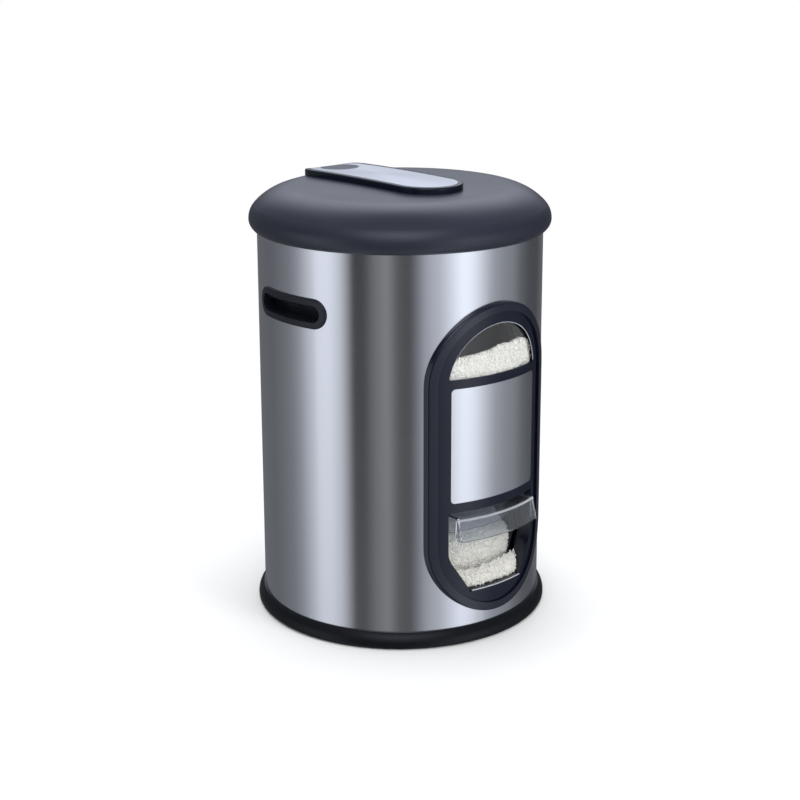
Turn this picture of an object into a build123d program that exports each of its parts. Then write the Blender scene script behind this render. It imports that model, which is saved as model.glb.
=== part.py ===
from build123d import *

import os
from math import cos, radians, sin, sqrt, tan

# Rice dispenser: a round steel bin with a hinged lid, a hopper inside and a scoop bay in its front.
# Millimetres. Z is up, the floor is Z = 0, the bin's axis is the Z axis and the front faces -Y.

# Fits that several pieces share
seat_gap = 0.1          # between two pieces that lie against each other
run_gap = 0.3           # between two pieces that move past each other
pin_gap = 0.05          # round a turning or sliding pin
overrun = 6.0           # how far a cut runs past what it cuts

# Steel shell
shell_radius = 145.0
shell_wall = 1.0
shell_foot = 8.0        # its lower edge, in the base's groove

# Base and mat
mat_thickness = 3.0
mat_chamfer = 0.75
mat_inset = 9.0         # from the shell's outside to the mat's edge
tray_underside = 1.0
tray_floor = 4.0
skirt_flare = 7.0       # widest reach past the shell
skirt_flare_height = 5.2
skirt_foot_inset = 1.8  # how far the lower edge is drawn in again
skirt_top = 16.7
skirt_lip = 1.4
spigot_wall = 2.7
spigot_rise = 12.0

# Front frame, stacked upwards from its lower end
frame_foot = 28.2
frame_half_width = 76.8
sill_rise = 27.8
hatch_height = 83.8
lower_bar = 9.7
plate_height = 116.0
upper_bar = 9.0
window_drop = 6.5       # from the window's sill down to the centre of the frame's upper round
rim_width = 9.0
rim_height = 5.5        # how far the rim stands out from the shell
rim_round = 2.6
face_height = 3.5       # how far the face inside the rim stands out
frame_lap = 5.8         # how far the rim lies on the shell beyond the cut-out
plug_depth = 5.5
plug_wall = 2.4

# Openings in the frame
window_border = 19.8
window_round = 2.0
window_lip = 1.6
hatch_border = 20.3
hatch_shoulder_rise = 36.0
sill_inset = 22.5       # how much narrower the sill is than the hatch, each side
hatch_round = 3.0
shoulder_round = 26.0
sill_bead = 2.4         # height of the raised bead along the sill's front edge
sill_bead_proud = 1.4
sill_bead_round = 0.6
plate_border = 22.3
plate_round = 4.0
plate_thickness = 1.0
plate_proud = 0.2

# Window pane and seal
pane_margin = 2.2
pane_thickness = 2.4
gasket_thickness = 0.8
gasket_inset = 0.5      # from the window's edge to the seal's inner edge
tunnel_wall = 2.2

# Hopper
hopper_gap = 22.0       # between the shell's inside and the hopper's outside
hopper_wall = 2.0
hopper_flange_width = 16.0
hopper_flange = 2.5
chute_angle = 34.0
chute_floor = 2.5
spout_inset = 2.5
spout_wall = 2.0
boss_radius = 5.0
boss_height = 15.0

# Shutter with its hood, at its highest place, and the rails it runs in
shutter_thickness = 2.0
shutter_back = 6.5      # from the hopper's outside to the pane's back
shutter_lap = 5.3       # how far the pane reaches past the hatch, each side
shutter_spare = 6.0     # how much taller it is than the hatch
spout_clear = 0.6       # between the spout's end and the pane
hood_drop = 5.8         # from the hatch's top to the hood's top
hood_reach = 6.0
hood_face = 22.4
hood_lean = 12.0
hood_wall = 2.0
hood_stand_off = 2.5    # from the frame's face to the hood's back edges, which pass in front of the rim
hood_inset = 5.0
hood_round = 1.4
neck_half_width = 47.4
rail_flange = 1.6
rail_web = 4.2
rail_lap = 5.0          # how far the groove covers the pane's edge
rail_below = 2.0
rail_above = 4.0
rib_width = 8.5
bay_wall = 2.5

# Grips
grip_drop = 67.0        # from the shell's rim to the grip's middle
grip_half_length = 50.8
grip_half_height = 14.9
grip_proud = 2.2
grip_round = 1.5
grip_lap = 4.3
grip_wall = 2.0
grip_depth = 18.0
grip_ridge_depth = 9.0
grip_ridge_share = 0.2     # height of the ridge above the grip's middle, of its half height
grip_pit_share = 0.05       # height below the middle where the pocket is deepest
tab_half_length = 12.0
tab_rise = 2.0
tab_thickness = 2.5

# Collar
frame_to_rim = 57.2     # from the frame's upper end to the shell's rim
collar_lip = 2.0
collar_lip_width = 6.5
collar_wall = 2.7
collar_depth = 11.0
collar_ledge = 3.0
collar_ledge_drop = 5.0

# Feed baffle
baffle_thickness = 2.0
baffle_flange = 20.0
baffle_half_width = 52.0
baffle_rise = 12.0      # from the hatch's top to the flange's lower edge
baffle_reach = 42.0
baffle_fall = 30.0

# Lid
lid_overlap = 4.2       # how far its edge hangs below the shell's rim
lid_overhang = 8.2
lid_rim_rise = 10.7
lid_height = 40.0       # from the shell's rim to the crown
lid_wall = 2.5
lid_edge_gap = 0.6
lid_edge_width = 1.0
crown_shares = (0.709, 0.95)       # where the crown ends: of the lid's radius, of the dome's height
shoulder_shares = (0.967, 0.40)    # where the shoulder ends
lid_plate = 2.0
lid_plate_inset = 2.0
plug_gap = 3.5
plug_rib = 2.0
plug_reach = 11.0
seal_width = 8.0
seal_inset = 4.0
seal_chamfer = 1.0
lid_boss_radius = 4.5
lid_boss_inset = 14.5   # from the inside of the plug ring to the circle of bosses
lid_boss_count = 6

# Strap and button
strap_half_width = 36.7
strap_front = 40.0      # centre of the front round, in front of the axis
strap_rear_inset = 19.5     # from the lid's widest edge to the strap's rear end
strap_height = 6.3
strap_round = 1.8
strap_border = 5.3
strap_plate_thickness = 1.0
strap_recess = 0.2
button_radius = 20.0
button_cap = 1.4
stem_radius = 6.0
stem_drop = 14.0        # from the dome's top at the button down to the guide's lower face
guide_wall = 4.0
catch_width = 2.0
catch_height = 2.0
spring_rise = 5.0
spring_strip = 0.6
spring_width = 9.0
spring_half_span = 11.0

# Hinge
hinge_reach = 15.0      # from the shell's outside to the pin
hinge_drop = 2.0        # from the shell's rim down to the pin
knuckle_radius = 4.5
knuckle_half_length = 11.0
ear_length = 8.0
pin_radius = 2.0
pin_head = 1.5
pin_head_radius = 3.2
bracket_half_width = 24.0
bracket_height = 34.0
bracket_thickness = 2.0
bracket_below_rim = 11.0
bracket_round = 4.0
arm_thickness = 4.0

# Screws
screw_radius = 1.4
screw_head_radius = 2.6
screw_head = 1.8
screw_grip = 9.0        # length that bites into the second piece
screw_slot = 0.7
nut_radius = 3.0
nut_height = 2.4
frame_screw_spread = 14.0
hinge_screw_spread = 15.0
base_screw_circle_inset = 3.8
base_screw_count = 4
base_screw_turn = 45
rail_screw_rise = 36.0  # from the rail's lower end
rail_screw_drop = 8.0   # from its upper end
baffle_screw_spread = 30.0

# Heights and radii that follow from the sizes above
hatch_sill = frame_foot + sill_rise
hatch_top = hatch_sill + hatch_height
hatch_shoulder = hatch_sill + hatch_shoulder_rise
plate_bottom = hatch_top + lower_bar
plate_top = plate_bottom + plate_height
window_sill = plate_top + upper_bar
frame_high_center = window_sill - window_drop
frame_low_center = frame_foot + frame_half_width
frame_top = frame_high_center + frame_half_width
shell_top = frame_top + frame_to_rim

hatch_half_width = frame_half_width - hatch_border
sill_half_width = hatch_half_width - sill_inset
window_radius = frame_half_width - window_border
plate_half_width = frame_half_width - plate_border

shell_bore = shell_radius - shell_wall
seat_radius = shell_radius + seat_gap
rim_radius = shell_radius + rim_height
face_radius = shell_radius + face_height
plug_radius = shell_radius - plug_depth
hopper_radius = shell_bore - hopper_gap
hopper_bore = hopper_radius - hopper_wall
shutter_inner = hopper_radius + shutter_back
shutter_outer = shutter_inner + shutter_thickness
groove_inner = shutter_inner - run_gap
groove_outer = shutter_outer + run_gap
rail_inner = groove_inner - rail_flange
rail_outer = groove_outer + rail_flange
bay_back = rail_outer + run_gap
shutter_half_width = hatch_half_width + shutter_lap
rail_edge = shutter_half_width - rail_lap

tray_top = mat_thickness + tray_floor
skirt_radius = shell_radius + skirt_flare
mat_radius = shell_radius - mat_inset
spigot_radius = shell_bore - seat_gap

collar_top = shell_top + collar_lip
ledge_top = shell_top - collar_ledge_drop
flange_top = ledge_top + hopper_flange
hood_top = hatch_top - hood_drop
hood_bottom = hood_top - hood_face * cos(radians(hood_lean))
shutter_top = hood_bottom + hatch_height + shutter_spare
rail_bottom = hatch_sill - rail_below
rail_top = shutter_top + rail_above

lid_edge = shell_top - lid_overlap
lid_rim = lid_edge + lid_rim_rise
lid_apex = shell_top + lid_height
lid_radius = shell_radius + lid_overhang
lid_bore = shell_radius + lid_edge_gap
strap_rear = lid_radius - strap_rear_inset - strap_half_width
plug_outer_radius = hopper_bore - plug_gap
lid_boss_circle = plug_outer_radius - plug_rib - lid_boss_inset
lid_plate_bottom = collar_top + run_gap
lid_plate_top = lid_plate_bottom + lid_plate
pin_y = shell_radius + hinge_reach
pin_z = shell_top - hinge_drop
bin_reach = shell_radius + hood_reach + hood_face + overrun
bin_height = lid_apex + strap_height + overrun

rear_plane = Plane(origin=(0, 0, 0), x_dir=(-1, 0, 0), z_dir=(0, 1, 0))
tube_plane = Plane(origin=(0, 0, -overrun), x_dir=(1, 1, 0), z_dir=(0, 0, 1))


def curved_slab(outline, inner, outer):
    # The part of a tube about the bin's axis that an outline on an upright plane cuts out in front of it.
    with BuildPart() as slab:
        extrude(outline, amount=outer + overrun)
        with BuildSketch(tube_plane):
            Circle(outer)
            Circle(inner, mode=Mode.SUBTRACT)
        extrude(amount=bin_height + overrun, mode=Mode.INTERSECT)
    return slab.part


def ring_block(inner, outer, low, high):
    with BuildPart() as block:
        with BuildSketch(Plane.XY.offset(low)):
            Circle(outer)
            if inner > 0:
                Circle(inner, mode=Mode.SUBTRACT)
        extrude(amount=high - low)
    return block.part


def frame_face(inset):
    with BuildSketch(Plane.XZ) as face:
        with Locations((0, (frame_low_center + frame_high_center) / 2)):
            SlotCenterToCenter(
                frame_high_center - frame_low_center, 2 * (frame_half_width - inset), rotation=90
            )
    return face.sketch


def hatch_face(grow):
    with BuildSketch(Plane.XZ) as face:
        with BuildLine():
            Polyline(
                (hatch_half_width, hatch_top),
                (hatch_half_width, hatch_shoulder),
                (sill_half_width, hatch_sill),
                (-sill_half_width, hatch_sill),
                (-hatch_half_width, hatch_shoulder),
                (-hatch_half_width, hatch_top),
                close=True,
            )
        make_face()
        fillet(face.vertices().group_by(Axis.Y)[1], shoulder_round)
        corners = face.vertices().group_by(Axis.Y)
        fillet(corners[0] + corners[-1], hatch_round)
        if grow:
            offset(amount=grow)
    return face.sketch


def window_face(grow):
    with BuildSketch(Plane.XZ) as face:
        with Locations((0, frame_high_center)):
            Circle(window_radius + grow)
        with Locations((0, window_sill - grow)):
            Rectangle(
                2 * frame_half_width, frame_half_width, align=(Align.CENTER, Align.MIN), mode=Mode.INTERSECT
            )
        fillet(face.vertices(), window_round)
    return face.sketch


def upright_face(half_width, low, high, corner=0):
    with BuildSketch(Plane.XZ) as face:
        with Locations((0, (low + high) / 2)):
            Rectangle(2 * half_width, high - low)
        if corner:
            fillet(face.vertices(), corner)
    return face.sketch


def strip_face(near, far, low, high):
    # Two upright strips, one each side of the middle
    with BuildSketch(Plane.XZ) as face:
        with Locations(((near + far) / 2, (low + high) / 2), (-(near + far) / 2, (low + high) / 2)):
            Rectangle(far - near, high - low)
    return face.sketch


def screw_group(planes, grip):
    # Pan-head screws: each plane lies under a head, and its normal runs along the shank.
    with BuildPart() as screws:
        with Locations(*planes):
            Cylinder(screw_radius, grip, align=(Align.CENTER, Align.CENTER, Align.MIN))
            Cylinder(screw_head_radius, screw_head, align=(Align.CENTER, Align.CENTER, Align.MAX))
        slot_planes = [plane.offset(-screw_head) for plane in planes]
        with Locations(*slot_planes):
            for turn in (0, 90):
                Box(
                    screw_head_radius,
                    screw_slot,
                    screw_head,
                    rotation=(0, 0, turn),
                    align=(Align.CENTER, Align.CENTER, Align.CENTER),
                    mode=Mode.SUBTRACT,
                )
    return screws.part


def screw_holes(planes, back, grip):
    # Bores for a screw group, from behind the heads to the screws' tips
    with BuildPart() as holes:
        with Locations(*[plane.offset(-back) for plane in planes]):
            Cylinder(
                screw_radius + seat_gap,
                back + grip + seat_gap,
                align=(Align.CENTER, Align.CENTER, Align.MIN),
            )
    return holes.part


def front_y(radius, x):
    # Where a tube about the bin's axis is in front, at one side distance
    return -sqrt(radius**2 - x**2)


# Where the screws sit
frame_screw_reach = frame_half_width - frame_lap / 2
frame_screw_rise = sqrt(frame_screw_reach**2 - frame_screw_spread**2)
frame_screw_seat = front_y(shell_bore, frame_screw_spread + screw_head_radius) + seat_gap
frame_screw_planes = [
    Plane(origin=(x, frame_screw_seat, z), z_dir=(0, -1, 0))
    for x in (-frame_screw_spread, frame_screw_spread)
    for z in (frame_low_center - frame_screw_rise, frame_high_center + frame_screw_rise)
]
frame_screw_grip = rim_height + shell_wall - screw_head / 2

rail_screw_x = shutter_half_width + run_gap + screw_radius + seat_gap + rail_flange / 2
rail_screw_seat = front_y(rail_inner, rail_screw_x) - screw_head - seat_gap
rail_screw_planes = [
    Plane(origin=(x, rail_screw_seat, z), z_dir=(0, -1, 0))
    for x in (-rail_screw_x, rail_screw_x)
    for z in (rail_bottom + rail_screw_rise, rail_top - rail_screw_drop)
]

baffle_low = hatch_top + baffle_rise
baffle_screw_seat = front_y(hopper_radius, baffle_screw_spread + screw_head_radius) - hopper_wall
baffle_screw_planes = [
    Plane(origin=(x, baffle_screw_seat, baffle_low + baffle_flange / 2), z_dir=(0, 1, 0))
    for x in (-baffle_screw_spread, baffle_screw_spread)
]

base_screw_circle = hopper_bore - base_screw_circle_inset
base_screw_seat = mat_thickness + screw_head + seat_gap
base_screw_places = PolarLocations(
    base_screw_circle, base_screw_count, start_angle=base_screw_turn
).local_locations
base_screw_planes = [
    Plane(origin=(place.position.X, place.position.Y, base_screw_seat), z_dir=(0, 0, 1))
    for place in base_screw_places
]

bracket_top = shell_top - bracket_below_rim
bracket_bottom = bracket_top - bracket_height
hinge_screw_z = (bracket_top + bracket_bottom) / 2
bracket_radius = seat_radius + bracket_thickness
hinge_screw_seat = sqrt(bracket_radius**2 - (hinge_screw_spread - screw_head_radius) ** 2)
hinge_screw_planes = [
    Plane(origin=(x, hinge_screw_seat + seat_gap, hinge_screw_z), z_dir=(0, -1, 0))
    for x in (-hinge_screw_spread, hinge_screw_spread)
]
hinge_nut_seat = sqrt(shell_bore**2 - (hinge_screw_spread + nut_radius) ** 2) - seat_gap
hinge_screw_grip = hinge_screw_seat - hinge_nut_seat + nut_height + shell_wall

lid_screw_places = PolarLocations(lid_boss_circle, lid_boss_count).local_locations
lid_screw_planes = [
    Plane(origin=(place.position.X, place.position.Y, lid_plate_bottom), z_dir=(0, 0, 1))
    for place in lid_screw_places
]

# Steel shell
frame_cut = curved_slab(frame_face(frame_lap), plug_radius, rim_radius)
with BuildSketch(Plane.YZ) as grip_slot:
    with Locations((0, shell_top - grip_drop)):
        SlotOverall(2 * (grip_half_length - grip_lap), 2 * (grip_half_height - grip_lap))
with BuildPart() as outer_shell:
    with BuildSketch(Plane.XY.offset(shell_foot)):
        Circle(shell_radius)
        Circle(shell_bore, mode=Mode.SUBTRACT)
    extrude(amount=shell_top - shell_foot)
    add(frame_cut, mode=Mode.SUBTRACT)
    extrude(grip_slot.sketch, amount=shell_radius + overrun, both=True, mode=Mode.SUBTRACT)
    add(screw_holes(frame_screw_planes, overrun, frame_screw_grip), mode=Mode.SUBTRACT)
    add(screw_holes(hinge_screw_planes, overrun, hinge_screw_grip + overrun), mode=Mode.SUBTRACT)

# Rubber mat
with BuildPart() as base_mat:
    with BuildSketch():
        Circle(mat_radius)
    extrude(amount=mat_thickness)
    chamfer(base_mat.edges().group_by(Axis.Z)[0], mat_chamfer)

# Base: flared skirt, groove for the shell, flat floor, recess for the mat
with BuildPart() as base_tray:
    with BuildSketch(Plane.XZ):
        with BuildLine():
            flare_top = (shell_radius + skirt_lip, skirt_top)
            flare_end = (skirt_radius, skirt_flare_height)
            foot_edge = (skirt_radius - skirt_foot_inset, tray_underside)
            flare = TangentArc(flare_end, flare_top, tangent=(0, 1))
            foot = TangentArc(flare_end, foot_edge, tangent=(0, -1))
            Polyline(
                foot_edge,
                (mat_radius + seat_gap, tray_underside),
                (mat_radius + seat_gap, mat_thickness),
                (0, mat_thickness),
                (0, tray_top),
                (spigot_radius - spigot_wall, tray_top),
                (spigot_radius - spigot_wall, shell_foot + spigot_rise),
                (spigot_radius, shell_foot + spigot_rise),
                (spigot_radius, shell_foot),
                (shell_radius + seat_gap, shell_foot),
                (shell_radius + seat_gap, skirt_top),
                flare_top,
            )
        make_face()
    revolve(axis=Axis.Z)
    with Locations(*base_screw_planes):
        Cylinder(
            screw_head_radius + seat_gap,
            screw_head + seat_gap,
            align=(Align.CENTER, Align.CENTER, Align.MAX),
            mode=Mode.SUBTRACT,
        )
    add(screw_holes(base_screw_planes, screw_head, screw_grip), mode=Mode.SUBTRACT)

# Hopper floor: a sloping plate inside the hopper's wall
chute_front = hatch_sill + spout_inset
chute_rise = 2 * hopper_bore * tan(radians(chute_angle))
chute_skew = chute_floor / cos(radians(chute_angle))
with BuildPart() as hopper_chute:
    with BuildSketch(Plane.YZ):
        with BuildLine():
            Polyline(
                (-hopper_bore, chute_front),
                (hopper_bore, chute_front + chute_rise),
                (hopper_bore, chute_front + chute_rise - chute_skew),
                (-hopper_bore, chute_front - chute_skew),
                close=True,
            )
        make_face()
    extrude(amount=hopper_bore, both=True)
    with BuildSketch(Plane.XY):
        Circle(hopper_bore - seat_gap)
    extrude(amount=bin_height, mode=Mode.INTERSECT)

# Spout: a short throat in the hopper's wall, from the chute to the shutter
spout_hole = curved_slab(hatch_face(-spout_inset), hopper_bore - overrun, shutter_outer)
spout_tube = curved_slab(hatch_face(spout_wall - spout_inset), hopper_bore, shutter_inner - spout_clear)
with BuildPart() as hopper_spout:
    add(spout_tube)
    add(spout_hole, mode=Mode.SUBTRACT)

# Hopper: upright wall with openings for the spout and the window, screw bosses, and the rim it hangs by
spout_seat = curved_slab(
    hatch_face(spout_wall - spout_inset + seat_gap), hopper_bore - overrun, hopper_radius + overrun
)
window_hole = curved_slab(window_face(-gasket_inset), hopper_bore - overrun, hopper_radius + overrun)
with BuildPart() as inner_hopper:
    with BuildSketch(Plane.XY.offset(tray_top)):
        Circle(hopper_radius)
        Circle(hopper_bore, mode=Mode.SUBTRACT)
    extrude(amount=flange_top - tray_top)
    with BuildSketch(Plane.XY.offset(tray_top)):
        with Locations(*base_screw_places):
            Circle(boss_radius)
    extrude(amount=boss_height)
    add(spout_seat, mode=Mode.SUBTRACT)
    add(window_hole, mode=Mode.SUBTRACT)
    add(screw_holes(base_screw_planes, screw_head, screw_grip), mode=Mode.SUBTRACT)
    add(screw_holes(baffle_screw_planes, screw_head, screw_grip), mode=Mode.SUBTRACT)
with BuildPart() as hopper_rim:
    with BuildSketch(Plane.XY.offset(ledge_top)):
        Circle(hopper_radius + hopper_flange_width)
        Circle(hopper_radius + seat_gap, mode=Mode.SUBTRACT)
    extrude(amount=hopper_flange)

# Feed baffle: a curved flange on the hopper's wall and a plate that slopes down into the hopper
baffle_radius = hopper_bore - seat_gap
baffle_strip = curved_slab(
    upright_face(baffle_half_width, baffle_low, baffle_low + baffle_flange),
    baffle_radius - baffle_thickness,
    baffle_radius,
)
with BuildPart() as feed_baffle:
    with BuildSketch(Plane.YZ):
        with BuildLine():
            Polyline(
                (-hopper_bore, baffle_low),
                (-hopper_bore + baffle_reach, baffle_low - baffle_fall),
                (-hopper_bore + baffle_reach, baffle_low - baffle_fall + baffle_thickness),
                (-hopper_bore, baffle_low + baffle_thickness),
                close=True,
            )
        make_face()
    extrude(amount=baffle_half_width, both=True)
    with BuildSketch(Plane.XY):
        Circle(baffle_radius)
    extrude(amount=bin_height, mode=Mode.INTERSECT)
    add(baffle_strip)
    add(screw_holes(baffle_screw_planes, screw_head, screw_grip), mode=Mode.SUBTRACT)

# Collar on the shell's rim, with the ledge that centres the hopper
with BuildPart() as top_collar:
    with BuildSketch(Plane.XZ):
        collar_radius = shell_bore - seat_gap
        with BuildLine():
            Polyline(
                (shell_radius, shell_top),
                (shell_radius, collar_top),
                (shell_radius - collar_lip_width, collar_top),
                (collar_radius - collar_wall, shell_top),
                (collar_radius - collar_wall, ledge_top),
                (hopper_radius + seat_gap, ledge_top),
                (hopper_radius + seat_gap, ledge_top - collar_ledge),
                (collar_radius - collar_wall, ledge_top - collar_ledge),
                (collar_radius - collar_wall, shell_top - collar_depth),
                (collar_radius, shell_top - collar_depth),
                (collar_radius, shell_top),
                close=True,
            )
        make_face()
    revolve(axis=Axis.Z)

# Front frame
frame_slab = curved_slab(frame_face(0), seat_radius, rim_radius)
face_relief = curved_slab(frame_face(rim_width), face_radius, rim_radius + overrun)
plug_outer = curved_slab(frame_face(frame_lap + seat_gap), plug_radius, seat_radius)
plug_inner = curved_slab(frame_face(frame_lap + seat_gap + plug_wall), plug_radius - overrun, seat_radius)
pane_front = face_radius - window_lip
window_tunnel = curved_slab(
    window_face(pane_margin + seat_gap + tunnel_wall), hopper_radius + seat_gap, shell_radius
)
window_seat = curved_slab(window_face(pane_margin + seat_gap), hopper_radius - overrun, pane_front)
window_cut = curved_slab(window_face(0), hopper_radius - overrun, rim_radius + overrun)
bay_tunnel = curved_slab(hatch_face(bay_wall), bay_back, shell_radius)
bay_cut = curved_slab(hatch_face(0), bay_back - overrun, rim_radius + overrun)
plate_seat = face_radius + plate_proud - plate_thickness
plate_pocket = curved_slab(
    upright_face(plate_half_width + seat_gap, plate_bottom - seat_gap, plate_top + seat_gap, plate_round),
    plate_seat - seat_gap,
    rim_radius + overrun,
)
bead_outline = upright_face(sill_half_width, hatch_sill - sill_bead, hatch_sill)
bead_slab = curved_slab(bead_outline, face_radius, face_radius + sill_bead_proud)
with BuildPart() as bead:
    add(bead_slab)
    fillet(bead.faces().sort_by(Axis.Y)[0].edges(), sill_bead_round)
rib_near = hatch_half_width + bay_wall + seat_gap
with BuildSketch(Plane.XZ) as rib_outline:
    add(strip_face(rib_near, rib_near + rib_width, rail_bottom, rail_top))
    add(frame_face(frame_lap + seat_gap), mode=Mode.INTERSECT)
rail_ribs = curved_slab(rib_outline.sketch, rail_outer + seat_gap, seat_radius)
with BuildPart() as front_frame:
    add(frame_slab)
    fillet(front_frame.faces().sort_by(Axis.Y)[0].edges(), rim_round)
    add(face_relief, mode=Mode.SUBTRACT)
    add(bead.part)
    add(plug_outer)
    add(plug_inner, mode=Mode.SUBTRACT)
    add(rail_ribs)
    add(plate_pocket, mode=Mode.SUBTRACT)
    add(window_seat, mode=Mode.SUBTRACT)
    add(window_cut, mode=Mode.SUBTRACT)
    add(bay_cut, mode=Mode.SUBTRACT)
    add(screw_holes(frame_screw_planes, overrun, frame_screw_grip), mode=Mode.SUBTRACT)
    add(screw_holes(rail_screw_planes, screw_head, screw_grip), mode=Mode.SUBTRACT)

# Liners from the frame's back to the hopper: one behind the window, one round the bay
with BuildPart() as window_liner:
    add(window_tunnel)
    add(window_seat, mode=Mode.SUBTRACT)
with BuildPart() as bay_liner:
    add(bay_tunnel)
    add(bay_cut, mode=Mode.SUBTRACT)

# Window pane with its seal in front of it, and the steel plate
with BuildPart() as window_gasket:
    add(curved_slab(window_face(pane_margin), pane_front - gasket_thickness, pane_front - seat_gap))
    add(curved_slab(window_face(gasket_inset), hopper_radius, rim_radius), mode=Mode.SUBTRACT)
with BuildPart() as sight_window:
    pane_outer = pane_front - gasket_thickness - seat_gap
    add(curved_slab(window_face(pane_margin), pane_outer - pane_thickness, pane_outer))
with BuildPart() as front_plate:
    plate_outline = upright_face(plate_half_width, plate_bottom, plate_top, plate_round)
    add(curved_slab(plate_outline, plate_seat, plate_seat + plate_thickness))

# Shutter: a curved pane, a neck through the hatch and a hood in front of the frame
hood_back = face_radius + hood_stand_off
hood_front = face_radius + hood_reach
hood_low_reach = hood_front + hood_face * sin(radians(hood_lean))
hood_half_width = hatch_half_width - hood_inset
lean_wall = hood_wall / cos(radians(hood_lean))
with BuildPart() as hood:
    with BuildSketch(Plane.XZ):
        with BuildLine():
            Polyline(
                (hood_back, hood_top),
                (hood_front, hood_top),
                (hood_low_reach, hood_bottom),
                (hood_back, hood_bottom),
                close=True,
            )
        make_face()
    revolve(axis=Axis.Z)
    extrude(upright_face(hood_half_width, 0, bin_height), amount=bin_reach, mode=Mode.INTERSECT)
    hood_edges = hood.faces().sort_by(Axis.Y)[0].edges()
    fillet(hood_edges.sort_by(Axis.Z)[-1], hood_round)
with BuildPart() as hood_hollow:
    with BuildSketch(Plane.XZ):
        with BuildLine():
            Polyline(
                (hood_back - overrun, hood_top - hood_wall),
                (hood_front - lean_wall + hood_wall * tan(radians(hood_lean)), hood_top - hood_wall),
                (hood_low_reach - lean_wall + overrun * tan(radians(hood_lean)), hood_bottom - overrun),
                (hood_back - overrun, hood_bottom - overrun),
                close=True,
            )
        make_face()
    revolve(axis=Axis.Z)
    extrude(upright_face(hood_half_width - hood_wall, 0, bin_height), amount=bin_reach, mode=Mode.INTERSECT)
shutter_pane = curved_slab(
    upright_face(shutter_half_width, hood_bottom, shutter_top), shutter_inner, shutter_outer
)
neck = curved_slab(
    upright_face(neck_half_width, hood_top - hood_wall, hood_top), shutter_outer, hood_back + hood_wall
)
with BuildPart() as hatch_shutter:
    add(hood.part)
    add(hood_hollow.part, mode=Mode.SUBTRACT)
    add(neck)
    add(shutter_pane)

# Rails: a channel round each upright edge of the pane
rail_groove = curved_slab(
    upright_face(shutter_half_width + run_gap, rail_bottom - overrun, rail_top + overrun),
    groove_inner,
    groove_outer,
)
rail_blocks = curved_slab(
    strip_face(rail_edge, shutter_half_width + rail_web, rail_bottom, rail_top), rail_inner, rail_outer
)
with BuildPart() as rails:
    add(rail_blocks)
    add(rail_groove, mode=Mode.SUBTRACT)
    with Locations(*rail_screw_planes):
        Cylinder(
            screw_head_radius + seat_gap,
            screw_head + overrun,
            align=(Align.CENTER, Align.CENTER, Align.MAX),
            mode=Mode.SUBTRACT,
        )
    add(screw_holes(rail_screw_planes, screw_head, screw_grip), mode=Mode.SUBTRACT)
with BuildPart() as guide_rail_left:
    add(rails.part)
    split(bisect_by=Plane.YZ, keep=Keep.BOTTOM)
with BuildPart() as guide_rail_right:
    add(rails.part)
    split(bisect_by=Plane.YZ, keep=Keep.TOP)

# Grip cups: a rim on the shell and a pocket whose back leans in to a ridge and then drops away
grip_z = shell_top - grip_drop


def grip_face(inset):
    with BuildSketch(Plane.YZ) as face:
        with Locations((0, grip_z)):
            SlotOverall(2 * (grip_half_length - inset), 2 * (grip_half_height - inset))
    return face.sketch


def grip_hollow(inset, deeper):
    # The pocket's room, from its leaning back out past the shell
    top = grip_z + grip_half_height
    low = grip_z - grip_half_height
    ridge_z = grip_z + grip_ridge_share * grip_half_height
    pit_z = grip_z - grip_pit_share * grip_half_height
    with BuildPart() as room:
        with BuildSketch(Plane.XZ):
            with BuildLine():
                Polyline(
                    (shell_radius + overrun, top),
                    (shell_radius - grip_ridge_depth / 2 - deeper, top),
                    (shell_radius - grip_ridge_depth - deeper, ridge_z),
                    (shell_radius - grip_depth - deeper, pit_z),
                    (shell_radius - grip_depth - deeper, low),
                    (shell_radius + overrun, low),
                    close=True,
                )
            make_face()
        extrude(amount=grip_half_length, both=True)
        extrude(grip_face(inset), amount=shell_radius + overrun, mode=Mode.INTERSECT)
    return room.part


grip_slab = curved_slab(grip_face(0), seat_radius, shell_radius + grip_proud)
with BuildPart() as grip_rim:
    add(grip_slab)
    fillet(grip_rim.faces().sort_by(Axis.X)[-1].edges(), grip_round)
grip_bowl = grip_hollow(grip_lap + seat_gap, grip_wall)
grip_room = grip_hollow(grip_lap + seat_gap + grip_wall, 0)
grip_trim = ring_block(seat_radius, shell_radius + grip_half_length, 0, bin_height)
with BuildSketch(Plane.YZ) as tab_outline:
    with Locations((0, grip_z)):
        Rectangle(2 * tab_half_length, 2 * (grip_half_height - grip_lap - seat_gap + tab_rise))
grip_tabs = curved_slab(tab_outline.sketch, shell_bore - seat_gap - tab_thickness, shell_bore - seat_gap)
with BuildPart() as right_grip_cup:
    add(grip_bowl)
    add(grip_trim, mode=Mode.SUBTRACT)
    add(grip_tabs)
    add(grip_rim.part)
    add(grip_room, mode=Mode.SUBTRACT)
with BuildPart() as left_grip_cup:
    add(right_grip_cup.part)
    mirror(about=Plane.YZ, mode=Mode.REPLACE)


# Lid: the dome's line is a flat crown, a shoulder and a rim, each an arc that runs on from the last
def dome_arcs(radius, apex, rim):
    height = apex - rim
    crown = TangentArc(
        (0, apex), (radius * crown_shares[0], rim + height * crown_shares[1]), tangent=(1, 0)
    )
    shoulder = TangentArc(
        crown @ 1, (radius * shoulder_shares[0], rim + height * shoulder_shares[1]), tangent=crown % 1
    )
    edge = TangentArc(shoulder @ 1, (radius, rim), tangent=shoulder % 1)
    return crown, shoulder, edge


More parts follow.
